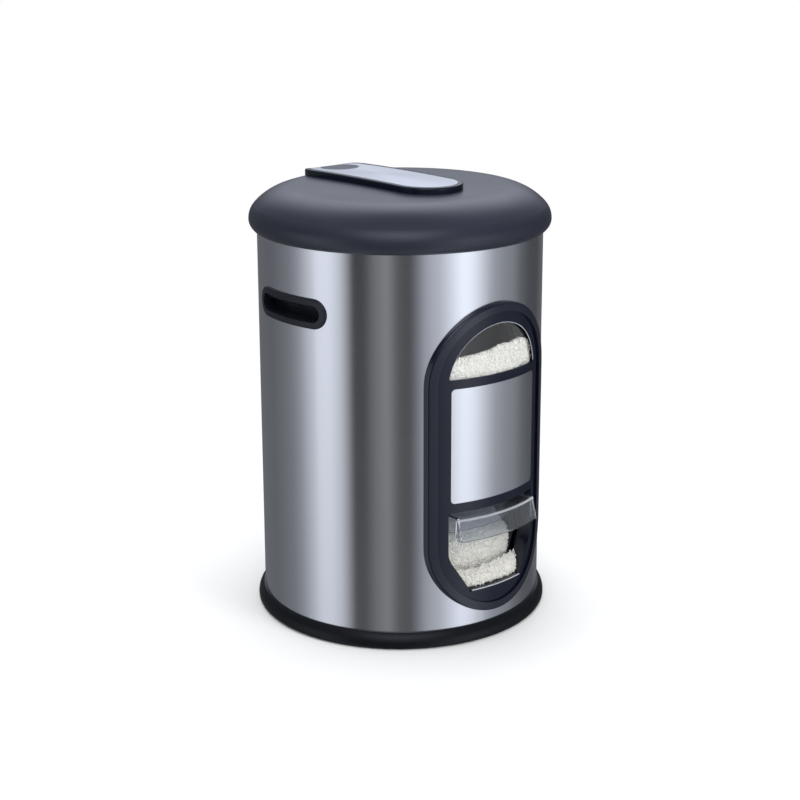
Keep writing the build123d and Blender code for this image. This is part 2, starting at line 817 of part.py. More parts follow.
def dome_block(rise):
    # Everything under the dome's outside, raised by a given amount
    with BuildPart() as block:
        with BuildSketch(Plane.XZ):
            with BuildLine():
                dome_arcs(lid_radius, lid_apex + rise, lid_rim + rise)
                Polyline(
                    (lid_radius, lid_rim + rise),
                    (lid_radius, lid_edge),
                    (0, lid_edge),
                    (0, lid_apex + rise),
                )
            make_face()
        revolve(axis=Axis.Z)
    return block.part


def dome_height(y):
    # The dome's outside on its crown, by the crown's own circle
    run = lid_radius * crown_shares[0]
    fall = (lid_apex - lid_rim) * (1 - crown_shares[1])
    crown_radius = (run**2 + fall**2) / (2 * fall)
    return lid_apex - crown_radius + sqrt(crown_radius**2 - y**2)


button_top = dome_height(strap_rear)
guide_low = button_top - stem_drop
inner_apex = lid_apex - lid_wall
with BuildPart() as lid_bosses:
    with BuildSketch(Plane.XY.offset(lid_plate_top + seat_gap)):
        with Locations(*lid_screw_places):
            Circle(lid_boss_radius)
    extrude(amount=bin_height)
    with BuildSketch(Plane.XY.offset(guide_low)):
        with Locations((0, strap_rear)):
            Circle(stem_radius + guide_wall)
    extrude(amount=bin_height)
    add(dome_block(-lid_wall / 2), mode=Mode.INTERSECT)
with BuildPart() as hinge_ears:
    with BuildSketch(Plane.YZ):
        with Locations((pin_y, pin_z)):
            Circle(knuckle_radius)
        with BuildLine():
            Polyline(
                (pin_y, pin_z - knuckle_radius),
                (lid_radius - lid_wall / 2, lid_edge + lid_overlap / 2),
                (lid_radius - lid_wall / 2, lid_rim),
                (pin_y, pin_z + knuckle_radius),
                close=True,
            )
        make_face()
    extrude(amount=knuckle_half_length + run_gap + ear_length, both=True)
    with BuildSketch(Plane.YZ):
        with Locations((pin_y, pin_z)):
            Rectangle(2 * lid_radius, 2 * lid_radius)
    extrude(amount=knuckle_half_length + run_gap, both=True, mode=Mode.SUBTRACT)
    with BuildSketch(Plane.YZ):
        with Locations((pin_y, pin_z)):
            Circle(pin_radius + pin_gap)
    extrude(amount=lid_radius, both=True, mode=Mode.SUBTRACT)
with BuildPart() as lid_dome:
    with BuildSketch(Plane.XZ):
        with BuildLine():
            dome_arcs(lid_radius, lid_apex, lid_rim)
            lip = (lid_bore + lid_edge_width, lid_edge)
            TangentArc((lid_radius, lid_rim), lip, tangent=(0, -1))
            Polyline(lip, (0, lid_edge), (0, lid_apex))
        make_face()
    revolve(axis=Axis.Z)
    add(hinge_ears.part)
    with BuildSketch(Plane.XZ):
        with BuildLine():
            dome_arcs(lid_radius - lid_wall, inner_apex, lid_rim)
            Polyline(
                (lid_radius - lid_wall, lid_rim),
                (lid_bore, shell_top),
                (lid_bore, lid_edge - overrun),
                (0, lid_edge - overrun),
                (0, inner_apex),
            )
        make_face()
    revolve(axis=Axis.Z, mode=Mode.SUBTRACT)
    add(lid_bosses.part)
    with Locations((0, strap_rear, guide_low)):
        Cylinder(
            stem_radius + pin_gap,
            lid_height,
            align=(Align.CENTER, Align.CENTER, Align.MIN),
            mode=Mode.SUBTRACT,
        )
    add(screw_holes(lid_screw_planes, screw_head, screw_grip), mode=Mode.SUBTRACT)

# Inner lid: closing plate with the post under the button's spring, the plug ring below it, and the seal
catch_top = guide_low - run_gap
catch_low = catch_top - catch_height
post_top = catch_low - spring_rise
seal_outer = hopper_radius + hopper_flange_width - seal_inset
lid_plate_radius = shell_radius - lid_plate_inset
with BuildPart() as lid_inner:
    with BuildSketch(Plane.XY.offset(lid_plate_bottom)):
        Circle(lid_plate_radius)
    extrude(amount=lid_plate)
    with BuildSketch(Plane.XY.offset(lid_plate_top)):
        with Locations((0, strap_rear)):
            Circle(spring_half_span + spring_strip)
    extrude(amount=post_top - lid_plate_top)
    add(screw_holes(lid_screw_planes, screw_head, screw_grip), mode=Mode.SUBTRACT)
with BuildPart() as lid_plug:
    with BuildSketch(Plane.XY.offset(lid_plate_bottom - seat_gap)):
        Circle(plug_outer_radius)
        Circle(plug_outer_radius - plug_rib, mode=Mode.SUBTRACT)
    extrude(amount=-plug_reach)
with BuildPart() as lid_gasket:
    with BuildSketch(Plane.XY.offset(flange_top + run_gap)):
        Circle(seal_outer)
        Circle(seal_outer - seal_width, mode=Mode.SUBTRACT)
    extrude(amount=lid_plate_bottom - flange_top - run_gap)
    chamfer(lid_gasket.edges().group_by(Axis.Z)[0], seal_chamfer)


# Strap: each layer has the dome's line from front to rear
def strap_face(inset):
    with BuildSketch(Plane.XY) as face:
        with Locations((0, (strap_rear - strap_front) / 2)):
            SlotCenterToCenter(strap_rear + strap_front, 2 * (strap_half_width - inset), rotation=90)
    return face.sketch


def button_face(grow):
    with BuildSketch(Plane.XY) as face:
        with Locations((0, strap_rear)):
            Circle(button_radius + grow)
    return face.sketch


def arch_block(outline, rise):
    # Everything inside an outline, up to the dome's line raised by a given amount
    with BuildPart() as block:
        with BuildSketch(Plane.YZ):
            with BuildLine():
                dome_arcs(lid_radius, lid_apex + rise, lid_rim + rise)
                Polyline(
                    (lid_radius, lid_rim + rise),
                    (lid_radius, lid_edge),
                    (0, lid_edge),
                    (0, lid_apex + rise),
                )
            make_face()
            mirror(about=Plane.YZ)
        extrude(amount=lid_radius, both=True)
        extrude(outline, amount=bin_height, mode=Mode.INTERSECT)
    return block.part


pocket_rise = strap_height - strap_recess - strap_plate_thickness - seat_gap
bezel_block = arch_block(strap_face(0), strap_height)
bezel_seat = dome_block(seat_gap)
pocket_block = arch_block(strap_face(strap_border), strap_height + overrun)
pocket_floor = arch_block(strap_face(strap_border), pocket_rise)
button_well = arch_block(button_face(run_gap), strap_height + overrun)
plate_block = arch_block(strap_face(strap_border + seat_gap), strap_height - strap_recess)
plate_under = arch_block(strap_face(0), pocket_rise + seat_gap)
with BuildPart() as strap_pocket:
    add(pocket_block)
    add(pocket_floor, mode=Mode.SUBTRACT)
with BuildPart() as strap_bezel:
    add(bezel_block)
    top_faces = strap_bezel.faces().filter_by(lambda face: face.normal_at().Z > 0).filter_by(
        GeomType.CYLINDER
    )
    fillet(top_faces.edges().filter_by(Axis.X, reverse=True), strap_round)
    add(bezel_seat, mode=Mode.SUBTRACT)
    add(strap_pocket.part, mode=Mode.SUBTRACT)
    add(button_well, mode=Mode.SUBTRACT)
with BuildPart() as strap_plate:
    add(plate_block)
    add(plate_under, mode=Mode.SUBTRACT)
    add(button_well, mode=Mode.SUBTRACT)

# Button: cap, stem through the dome's guide, and the catch under it
cap_rise = strap_height - strap_recess
cap_block = arch_block(button_face(0), cap_rise)
cap_under = arch_block(button_face(run_gap), cap_rise - button_cap)
with BuildPart() as button_stem:
    with Locations((0, strap_rear, catch_low)):
        Cylinder(
            stem_radius,
            button_top + cap_rise - button_cap / 2 - catch_low,
            align=(Align.CENTER, Align.CENTER, Align.MIN),
        )
        Cylinder(stem_radius + catch_width, catch_height, align=(Align.CENTER, Align.CENTER, Align.MIN))
with BuildPart() as vent_button:
    add(cap_block)
    add(cap_under, mode=Mode.SUBTRACT)
    add(button_stem.part)

# Leaf spring: an arched strip between the post and the catch
with BuildPart() as button_spring:
    with BuildSketch(Plane.XZ.offset(-strap_rear)):
        with BuildLine():
            low_end = (spring_half_span, post_top)
            crest = (0, catch_low)
            far_end = (-spring_half_span, post_top)
            under_end = (spring_half_span - spring_strip, post_top)
            under_crest = (0, catch_low - spring_strip)
            under_far = (-spring_half_span + spring_strip, post_top)
            ThreePointArc(low_end, crest, far_end)
            Line(far_end, under_far)
            ThreePointArc(under_far, under_crest, under_end)
            Line(under_end, low_end)
        make_face()
    extrude(amount=spring_width / 2, both=True)

# Hinge bracket: curved plate on the shell, an arm under the lid's edge, and the middle knuckle
with BuildSketch(rear_plane) as bracket_outline:
    with Locations((0, (bracket_top + bracket_bottom) / 2)):
        Rectangle(2 * bracket_half_width, bracket_height)
    fillet(bracket_outline.vertices(), bracket_round)
bracket_plate = curved_slab(bracket_outline.sketch, seat_radius, bracket_radius)
with BuildPart() as hinge_bracket:
    with BuildSketch(Plane.YZ):
        with Locations((pin_y, pin_z)):
            Circle(knuckle_radius)
        with BuildLine():
            Polyline(
                (pin_y - arm_thickness / 2, pin_z),
                (pin_y - arm_thickness / 2, bracket_top),
                (seat_radius + bracket_thickness / 2, bracket_top),
                (seat_radius + bracket_thickness / 2, bracket_top - 2 * arm_thickness),
                (pin_y + arm_thickness / 2, bracket_top - arm_thickness),
                (pin_y + knuckle_radius, pin_z),
                close=True,
            )
        make_face()
    extrude(amount=knuckle_half_length, both=True)
    add(bracket_plate)
    with BuildSketch(Plane.YZ):
        with Locations((pin_y, pin_z)):
            Circle(pin_radius + pin_gap / 2)
    extrude(amount=lid_radius, both=True, mode=Mode.SUBTRACT)
    add(ring_block(0, seat_radius, 0, bin_height), mode=Mode.SUBTRACT)
    add(screw_holes(hinge_screw_planes, screw_head, hinge_screw_grip), mode=Mode.SUBTRACT)
pin_half_length = knuckle_half_length + run_gap + ear_length + run_gap
with BuildPart() as hinge_pin:
    with BuildSketch(Plane.YZ):
        with Locations((pin_y, pin_z)):
            Circle(pin_radius)
    extrude(amount=pin_half_length, both=True)
    for side in (1, -1):
        with BuildSketch(Plane.YZ.offset(side * pin_half_length)):
            with Locations((pin_y, pin_z)):
                Circle(pin_head_radius)
        extrude(amount=side * pin_head)
with BuildPart() as hinge_nuts:
    for x in (-hinge_screw_spread, hinge_screw_spread):
        with BuildSketch(Plane(origin=(x, hinge_nut_seat, hinge_screw_z), z_dir=(0, -1, 0))):
            RegularPolygon(nut_radius, 6)
            Circle(screw_radius + pin_gap, mode=Mode.SUBTRACT)
        extrude(amount=nut_height)

# Screws
with BuildPart() as base_screws:
    add(screw_group(base_screw_planes, screw_grip))
with BuildPart() as frame_screws:
    add(screw_group(frame_screw_planes, frame_screw_grip))
with BuildPart() as rail_screws:
    add(screw_group(rail_screw_planes, screw_grip))
with BuildPart() as baffle_screws:
    add(screw_group(baffle_screw_planes, screw_grip - screw_head))
with BuildPart() as hinge_screws:
    add(screw_group(hinge_screw_planes, hinge_screw_grip))
with BuildPart() as lid_screws:
    add(screw_group(lid_screw_planes, screw_grip))

os.makedirs("parts", exist_ok=True)
pieces = {
    "outer_shell": outer_shell,
    "base_mat": base_mat,
    "base_tray": base_tray,
    "base_screws": base_screws,
    "inner_hopper": inner_hopper,
    "hopper_rim": hopper_rim,
    "hopper_chute": hopper_chute,
    "hopper_spout": hopper_spout,
    "feed_baffle": feed_baffle,
    "baffle_screws": baffle_screws,
    "top_collar": top_collar,
    "front_frame": front_frame,
    "frame_screws": frame_screws,
    "window_liner": window_liner,
    "bay_liner": bay_liner,
    "window_gasket": window_gasket,
    "sight_window": sight_window,
    "front_plate": front_plate,
    "hatch_shutter": hatch_shutter,
    "guide_rail_left": guide_rail_left,
    "guide_rail_right": guide_rail_right,
    "rail_screws": rail_screws,
    "left_grip_cup": left_grip_cup,
    "right_grip_cup": right_grip_cup,
    "lid_dome": lid_dome,
    "lid_inner": lid_inner,
    "lid_plug": lid_plug,
    "lid_gasket": lid_gasket,
    "lid_screws": lid_screws,
    "strap_bezel": strap_bezel,
    "strap_plate": strap_plate,
    "vent_button": vent_button,
    "button_spring": button_spring,
    "hinge_bracket": hinge_bracket,
    "hinge_screws": hinge_screws,
    "hinge_nuts": hinge_nuts,
    "hinge_pin": hinge_pin,
}
for name, piece in pieces.items():
    piece.part.label = name
    export_step(piece.part, f"parts/{name}.step")
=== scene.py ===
import math

import bmesh
import bpy
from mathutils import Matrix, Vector, noise


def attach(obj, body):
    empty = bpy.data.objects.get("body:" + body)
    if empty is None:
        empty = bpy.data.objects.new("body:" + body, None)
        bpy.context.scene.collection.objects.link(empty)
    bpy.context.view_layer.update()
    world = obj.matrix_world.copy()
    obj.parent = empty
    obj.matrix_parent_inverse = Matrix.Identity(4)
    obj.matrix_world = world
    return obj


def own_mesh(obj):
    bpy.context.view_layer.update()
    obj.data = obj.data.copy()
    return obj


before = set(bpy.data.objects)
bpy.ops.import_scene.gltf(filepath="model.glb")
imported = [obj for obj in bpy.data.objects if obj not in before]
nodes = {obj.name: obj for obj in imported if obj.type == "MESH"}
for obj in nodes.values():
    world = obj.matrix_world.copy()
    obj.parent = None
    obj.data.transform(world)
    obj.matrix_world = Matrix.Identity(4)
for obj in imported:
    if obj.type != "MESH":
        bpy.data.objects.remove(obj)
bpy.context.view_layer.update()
print("frame loaded:", len(nodes), "nodes")


# small helpers for node trees

mixA, mixB, mixResult = 6, 7, 2     # a Mix node's colour sockets, whose names its other sockets share
floatA, floatB = 2, 3               # and those for plain numbers


def addNode(tree, kind, x=0, y=0, **settings):
    node = tree.nodes.new(kind)
    node.location = (x, y)
    for name, value in settings.items():
        setattr(node, name, value)
    return node


def setInputs(node, **values):
    for name, value in values.items():
        node.inputs[name.replace("_", " ")].default_value = value
    return node


def fillRamp(node, stops):
    elements = node.color_ramp.elements
    for stop in stops[1:-1]:
        elements.new(stop[0])
    for element, (place, color) in zip(elements, stops):
        element.position, element.color = place, color


def newGroup(name, inputs, outputs):
    group = bpy.data.node_groups.new(name, "ShaderNodeTree")
    for label, kind, value in inputs:
        socket = group.interface.new_socket(label, in_out="INPUT", socket_type=kind)
        socket.default_value = value
    for label, kind in outputs:
        group.interface.new_socket(label, in_out="OUTPUT", socket_type=kind)
    return group, addNode(group, "NodeGroupInput", -900), addNode(group, "NodeGroupOutput", 700)


# shared effects

noiseSpan = {"From_Min": 0.3, "From_Max": 0.7}      # most of a noise texture's values lie here
brushed = {"detail": 4.0, "roughness": 0.7, "slowScale": 9.0, "slowDetail": 3.0, "slowShare": 0.25}


def makeGrainGroup():
    # fine lines: noise that is long where Stretch is small
    group, inside, outside = newGroup(
        "brushedGrain",
        [
            ("Dark", "NodeSocketColor", (0.5, 0.5, 0.5, 1)),
            ("Light", "NodeSocketColor", (0.6, 0.6, 0.6, 1)),
            ("Fine Scale", "NodeSocketFloat", 2600.0),
            ("Stretch", "NodeSocketVector", (0.012, 0.012, 1.0)),
            ("Low Roughness", "NodeSocketFloat", 0.2),
            ("High Roughness", "NodeSocketFloat", 0.3),
        ],
        [("Color", "NodeSocketColor"), ("Roughness", "NodeSocketFloat"), ("Height", "NodeSocketFloat")],
    )
    coord = addNode(group, "ShaderNodeTexCoord", -900, 300)
    flat = addNode(group, "ShaderNodeMapping", -700, 300)
    fine = addNode(group, "ShaderNodeTexNoise", -500, 300)
    setInputs(fine, Detail=brushed["detail"], Roughness=brushed["roughness"])
    slow = addNode(group, "ShaderNodeTexNoise", -500, 0)
    setInputs(slow, Scale=brushed["slowScale"], Detail=brushed["slowDetail"])
    blend = addNode(group, "ShaderNodeMix", -100, 300, data_type="FLOAT")
    setInputs(blend, Factor=brushed["slowShare"])
    tint = addNode(group, "ShaderNodeMix", 200, 300, data_type="RGBA")
    rough = addNode(group, "ShaderNodeMapRange", 200, 0)
    setInputs(rough, **noiseSpan)
    link = group.links.new
    link(coord.outputs["Object"], flat.inputs["Vector"])
    link(flat.outputs["Vector"], fine.inputs["Vector"])
    link(coord.outputs["Object"], slow.inputs["Vector"])
    link(inside.outputs["Stretch"], flat.inputs["Scale"])
    link(inside.outputs["Fine Scale"], fine.inputs["Scale"])
    link(fine.outputs["Fac"], blend.inputs[floatA])
    link(slow.outputs["Fac"], blend.inputs[floatB])
    link(blend.outputs[0], tint.inputs[0])
    link(inside.outputs["Dark"], tint.inputs[mixA])
    link(inside.outputs["Light"], tint.inputs[mixB])
    link(blend.outputs[0], rough.inputs["Value"])
    link(inside.outputs["Low Roughness"], rough.inputs["To Min"])
    link(inside.outputs["High Roughness"], rough.inputs["To Max"])
    link(tint.outputs[mixResult], outside.inputs["Color"])
    link(rough.outputs["Result"], outside.inputs["Roughness"])
    link(fine.outputs["Fac"], outside.inputs["Height"])
    return group


moulded = {"detail": 2.0, "roughness": 0.6, "patchScale": 14.0, "patchDetail": 4.0}


def makeMouldGroup():
    # moulded plastic: a fine spark-eroded grain, and slow patches of tone
    group, inside, outside = newGroup(
        "mouldedGrain",
        [
            ("Dark", "NodeSocketColor", (0.02, 0.02, 0.02, 1)),
            ("Light", "NodeSocketColor", (0.03, 0.03, 0.03, 1)),
            ("Grain Scale", "NodeSocketFloat", 1400.0),
            ("Low Roughness", "NodeSocketFloat", 0.4),
            ("High Roughness", "NodeSocketFloat", 0.5),
        ],
        [("Color", "NodeSocketColor"), ("Roughness", "NodeSocketFloat"), ("Height", "NodeSocketFloat")],
    )
    coord = addNode(group, "ShaderNodeTexCoord", -900, 300)
    grain = addNode(group, "ShaderNodeTexNoise", -500, 300)
    setInputs(grain, Detail=moulded["detail"], Roughness=moulded["roughness"])
    patch = addNode(group, "ShaderNodeTexNoise", -500, 0)
    setInputs(patch, Scale=moulded["patchScale"], Detail=moulded["patchDetail"])
    tint = addNode(group, "ShaderNodeMix", 200, 300, data_type="RGBA")
    rough = addNode(group, "ShaderNodeMapRange", 200, 0)
    setInputs(rough, **noiseSpan)
    link = group.links.new
    link(coord.outputs["Object"], grain.inputs["Vector"])
    link(coord.outputs["Object"], patch.inputs["Vector"])
    link(inside.outputs["Grain Scale"], grain.inputs["Scale"])
    link(patch.outputs["Fac"], tint.inputs[0])
    link(inside.outputs["Dark"], tint.inputs[mixA])
    link(inside.outputs["Light"], tint.inputs[mixB])
    link(patch.outputs["Fac"], rough.inputs["Value"])
    link(inside.outputs["Low Roughness"], rough.inputs["To Min"])
    link(inside.outputs["High Roughness"], rough.inputs["To Max"])
    link(tint.outputs[mixResult], outside.inputs["Color"])
    link(rough.outputs["Result"], outside.inputs["Roughness"])
    link(grain.outputs["Fac"], outside.inputs["Height"])
    return group


def makeBandGroup():
    # 1 on what lies both further from the bin's axis than Reach and higher than Height
    group, inside, outside = newGroup(
        "edgeBand",
        [
            ("Reach", "NodeSocketFloat", 0.15),
            ("Height", "NodeSocketFloat", 0.0),
            ("Sharpness", "NodeSocketFloat", 1500.0),
        ],
        [("Mask", "NodeSocketFloat")],
    )
    coord = addNode(group, "ShaderNodeTexCoord", -900, 300)
    parts = addNode(group, "ShaderNodeSeparateXYZ", -700, 300)
    flat = addNode(group, "ShaderNodeCombineXYZ", -500, 300)
    reach = addNode(group, "ShaderNodeVectorMath", -300, 300, operation="LENGTH")
    far = addNode(group, "ShaderNodeMath", -100, 300, operation="SUBTRACT")
    high = addNode(group, "ShaderNodeMath", -100, 0, operation="SUBTRACT")
    least = addNode(group, "ShaderNodeMath", 100, 150, operation="MINIMUM")
    mask = addNode(group, "ShaderNodeMath", 300, 150, operation="MULTIPLY_ADD", use_clamp=True)
    mask.inputs[2].default_value = 0.5      # half way where the edge lies
    link = group.links.new
    link(coord.outputs["Object"], parts.inputs[0])
    link(parts.outputs["X"], flat.inputs["X"])
    link(parts.outputs["Y"], flat.inputs["Y"])
    link(flat.outputs[0], reach.inputs[0])
    link(reach.outputs["Value"], far.inputs[0])
    link(inside.outputs["Reach"], far.inputs[1])
    link(parts.outputs["Z"], high.inputs[0])
    link(inside.outputs["Height"], high.inputs[1])
    link(far.outputs[0], least.inputs[0])
    link(high.outputs[0], least.inputs[1])
    link(least.outputs[0], mask.inputs[0])
    link(inside.outputs["Sharpness"], mask.inputs[1])
    link(mask.outputs[0], outside.inputs["Mask"])
    return group


brushedGrain = makeGrainGroup()
mouldedGrain = makeMouldGroup()
edgeBand = makeBandGroup()
print("shared shader groups ready")


# materials

def newMaterial(name):
    material = bpy.data.materials.new(name)
    material.use_nodes = True
    tree = material.node_tree
    shader = tree.nodes["Principled BSDF"]
    shader.location = (300, 0)
    tree.nodes["Material Output"].location = (700, 0)
    return material, tree, shader


def grainMaterial(name, group, settings):
    material, tree, shader = newMaterial(name)
    effect = addNode(tree, "ShaderNodeGroup", -300, 0, node_tree=group)
    for label, value in settings["grain"].items():
        effect.inputs[label].default_value = value
    bump = addNode(tree, "ShaderNodeBump", 0, -250)
    setInputs(bump, Strength=settings["bump"], Distance=settings["depth"])
    for label, value in settings["shader"].items():
        shader.inputs[label].default_value = value
    tree.links.new(effect.outputs["Color"], shader.inputs["Base Color"])
    tree.links.new(effect.outputs["Roughness"], shader.inputs["Roughness"])
    tree.links.new(effect.outputs["Height"], bump.inputs["Height"])
    tree.links.new(bump.outputs["Normal"], shader.inputs["Normal"])
    return material


roundTheBin = (0.012, 0.012, 1.0)   # lines that follow the shell
alongTheStrap = (1.0, 0.012, 0.2)


def steelLook(dark, light, low, high, turn=0.25, stretch=0.75, bump=0.05, fine=2600.0, lines=roundTheBin):
    return {
        "grain": {
            "Dark": (*dark, 1), "Light": (*light, 1), "Fine Scale": fine, "Stretch": lines,
            "Low Roughness": low, "High Roughness": high,
        },
        "shader": {"Metallic": 1.0, "Anisotropic": stretch, "Anisotropic Rotation": turn},
        "bump": bump,
        "depth": 0.0002,
    }


def plasticLook(dark, light, low, high, grain=1400.0, bump=0.15, specular=0.5):
    return {
        "grain": {
            "Dark": (*dark, 1), "Light": (*light, 1), "Grain Scale": grain,
            "Low Roughness": low, "High Roughness": high,
        },
        "shader": {"Specular IOR Level": specular},
        "bump": bump,
        "depth": 0.0003,
    }


steelLooks = {
    "shellSteel": steelLook((0.74, 0.76, 0.79), (0.84, 0.86, 0.89), 0.15, 0.20),
    "plateSteel": steelLook((0.80, 0.82, 0.85), (0.84, 0.86, 0.89), 0.19, 0.23, bump=0.02),
    "strapSteel": steelLook(
        (0.66, 0.685, 0.735), (0.72, 0.745, 0.79), 0.28, 0.34, stretch=0.3, bump=0.03, lines=alongTheStrap
    ),
    "hingeSteel": steelLook((0.40, 0.41, 0.43), (0.48, 0.49, 0.51), 0.34, 0.44, stretch=0.0),
    "screwSteel": steelLook((0.52, 0.53, 0.54), (0.62, 0.63, 0.64), 0.28, 0.36, stretch=0.0),
}
plasticLooks = {
    "lidPlastic": plasticLook(
        (0.015, 0.018, 0.029), (0.018, 0.021, 0.034), 0.30, 0.37, bump=0.08, specular=0.5
    ),
    "framePlastic": plasticLook(
        (0.002, 0.004, 0.012), (0.003, 0.005, 0.015), 0.16, 0.22, bump=0.03, specular=0.48
    ),
    "gripPlastic": plasticLook(
        (0.009, 0.011, 0.017), (0.012, 0.014, 0.021), 0.24, 0.32, bump=0.04, specular=0.28
    ),
    "basePlastic": plasticLook(
        (0.003, 0.004, 0.006), (0.004, 0.005, 0.008), 0.30, 0.38, bump=0.05, specular=0.25
    ),
    "hopperPlastic": plasticLook((0.005, 0.008, 0.015), (0.007, 0.011, 0.020), 0.45, 0.55),
    "buttonPlastic": plasticLook(
        (0.042, 0.049, 0.066), (0.048, 0.055, 0.073), 0.40, 0.48, bump=0.06, specular=0.3
    ),
    "sealRubber": plasticLook((0.010, 0.010, 0.011), (0.015, 0.015, 0.016), 0.65, 0.8, bump=0.3),
}
materials = {name: grainMaterial(name, brushedGrain, look) for name, look in steelLooks.items()}
materials.update({name: grainMaterial(name, mouldedGrain, look) for name, look in plasticLooks.items()})

clearBase = {"ior": 1.46, "scuffDetail": 5.0, "scuffFrom": 0.4, "scuffTo": 0.8}
clearLooks = {
    "windowPlastic": {
        "color": (0.95, 0.96, 0.97, 1), "clear": 1.0, "low": 0.01, "high": 0.04, "scuffScale": 160.0,
        "paintedEdgeHeight": 1.0, "paintedEdgeReach": 1.0, "paintedEdgeClear": 1.0,      # beyond the bin, so no painted highlight on the edge
    },
    "hoodPlastic": {    # its upper front edge is painted whiter as a highlight
        "color": (0.66, 0.69, 0.74, 1), "clear": 0.98, "low": 0.03, "high": 0.07, "scuffScale": 90.0,
        "paintedEdgeHeight": 0.1322, "paintedEdgeReach": 0.1530, "paintedEdgeClear": 0.50,
    },
}


def makeClearPlastic(name, look):
    material, tree, shader = newMaterial(name)
    setInputs(shader, Base_Color=look["color"], IOR=clearBase["ior"])
    coord = addNode(tree, "ShaderNodeTexCoord", -900, -200)
    scuff = addNode(tree, "ShaderNodeTexNoise", -700, -200)
    setInputs(scuff, Scale=look["scuffScale"], Detail=clearBase["scuffDetail"])
    haze = addNode(tree, "ShaderNodeMapRange", -400, -200)
    setInputs(haze, From_Min=clearBase["scuffFrom"], From_Max=clearBase["scuffTo"])
    setInputs(haze, To_Min=look["low"], To_Max=look["high"])
    # painted highlight: where the mask is 1, on the hood's upper front edge, less light goes through and the
    # edge looks whiter
    edge = addNode(tree, "ShaderNodeGroup", -400, -500, node_tree=edgeBand)
    setInputs(edge, Reach=look["paintedEdgeReach"], Height=look["paintedEdgeHeight"])
    clear = addNode(tree, "ShaderNodeMapRange", -100, -500)
    setInputs(clear, To_Min=look["clear"], To_Max=look["paintedEdgeClear"])
    lampPath = addNode(tree, "ShaderNodeLightPath", 300, 400)
    through = addNode(tree, "ShaderNodeBsdfTransparent", 300, 200)
    through.inputs["Color"].default_value = look["color"]
    choose = addNode(tree, "ShaderNodeMixShader", 520, 100)
    link = tree.links.new
    link(coord.outputs["Object"], scuff.inputs["Vector"])
    link(scuff.outputs["Fac"], haze.inputs["Value"])
    link(haze.outputs["Result"], shader.inputs["Roughness"])
    link(edge.outputs["Mask"], clear.inputs["Value"])
    link(clear.outputs["Result"], shader.inputs["Transmission Weight"])
    link(lampPath.outputs["Is Shadow Ray"], choose.inputs[0])
    link(shader.outputs["BSDF"], choose.inputs[1])
    link(through.outputs["BSDF"], choose.inputs[2])
    link(choose.outputs["Shader"], tree.nodes["Material Output"].inputs["Surface"])
    return material


rimPolish = {"reach": 0.1490, "coatRoughness": 0.10, "coatIor": 1.32}   # smoother than the frame's face


def polishRim(material, look):
    # a thin clear coat on the frame's raised rim alone
    tree = material.node_tree
    shader = tree.nodes["Principled BSDF"]
    rim = addNode(tree, "ShaderNodeGroup", 0, -500, node_tree=edgeBand)
    setInputs(rim, Reach=look["reach"])
    setInputs(shader, Coat_Roughness=look["coatRoughness"], Coat_IOR=look["coatIor"])
    tree.links.new(rim.outputs["Mask"], shader.inputs["Coat Weight"])


riceLook = {
    "dark": (0.66, 0.645, 0.59, 1), "darkTo": 0.3, "light": (0.80, 0.79, 0.75, 1), "lightFrom": 0.65,
    "spotScale": 260.0, "spotDetail": 3.0, "roughness": 0.5,
}


def makeRiceMaterial(look):
    material, tree, shader = newMaterial("riceGrain")
    coord = addNode(tree, "ShaderNodeTexCoord", -900, 0)
    spots = addNode(tree, "ShaderNodeTexNoise", -700, 0)
    setInputs(spots, Scale=look["spotScale"], Detail=look["spotDetail"])
    tint = addNode(tree, "ShaderNodeValToRGB", -400, 0)
    fillRamp(tint, [(look["darkTo"], look["dark"]), (look["lightFrom"], look["light"])])
    setInputs(shader, Roughness=look["roughness"])
    tree.links.new(coord.outputs["Object"], spots.inputs["Vector"])
    tree.links.new(spots.outputs["Fac"], tint.inputs["Fac"])
    tree.links.new(tint.outputs["Color"], shader.inputs["Base Color"])
    return material


materials.update({name: makeClearPlastic(name, look) for name, look in clearLooks.items()})
polishRim(materials["framePlastic"], rimPolish)
materials["riceGrain"] = makeRiceMaterial(riceLook)
# the light grey of the swept lines is a painted highlight along the window's edge and the sill's bead
lipHighlightLook = plasticLook((0.42, 0.45, 0.50), (0.50, 0.53, 0.58), 0.15, 0.22, bump=0.02)
materials["lipHighlightPlastic"] = grainMaterial("lipHighlightPlastic", mouldedGrain, lipHighlightLook)

nodeFinish = {
    "shellSteel": ["outer_shell"],
    "plateSteel": ["front_plate"],
    "strapSteel": ["strap_plate"],
    "hingeSteel": ["hinge_bracket", "hinge_pin", "button_spring"],
    "screwSteel": [
        "base_screws", "frame_screws", "rail_screws", "baffle_screws",
        "hinge_screws", "hinge_nuts", "lid_screws",
    ],
    "lidPlastic": ["lid_dome", "lid_inner", "lid_plug"],
    "framePlastic": ["front_frame", "window_liner", "bay_liner", "strap_bezel"],
    "gripPlastic": ["left_grip_cup", "right_grip_cup"],
    "basePlastic": ["base_tray"],
    "hopperPlastic": [
        "inner_hopper", "hopper_rim", "hopper_chute", "hopper_spout", "feed_baffle", "top_collar",
        "guide_rail_left", "guide_rail_right",
    ],
    "buttonPlastic": ["vent_button"],
    "sealRubber": ["base_mat", "window_gasket", "lid_gasket"],
    "windowPlastic": ["sight_window"],
    "hoodPlastic": ["hatch_shutter"],
}
for finish, members in nodeFinish.items():
    for member in members:
        nodes[member].data.materials.clear()
        nodes[member].data.materials.append(materials[finish])
print("materials set on", sum(len(members) for members in nodeFinish.values()), "nodes")
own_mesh(nodes["button_spring"])


# rice: closed sheets where the fill can be seen, covered with grains by Geometry Nodes

grain = {
    "length": 0.0062, "width": 0.0021, "smallest": 0.8, "largest": 1.15, "seed": 11,
    "segments": 6, "rings": 4,
}


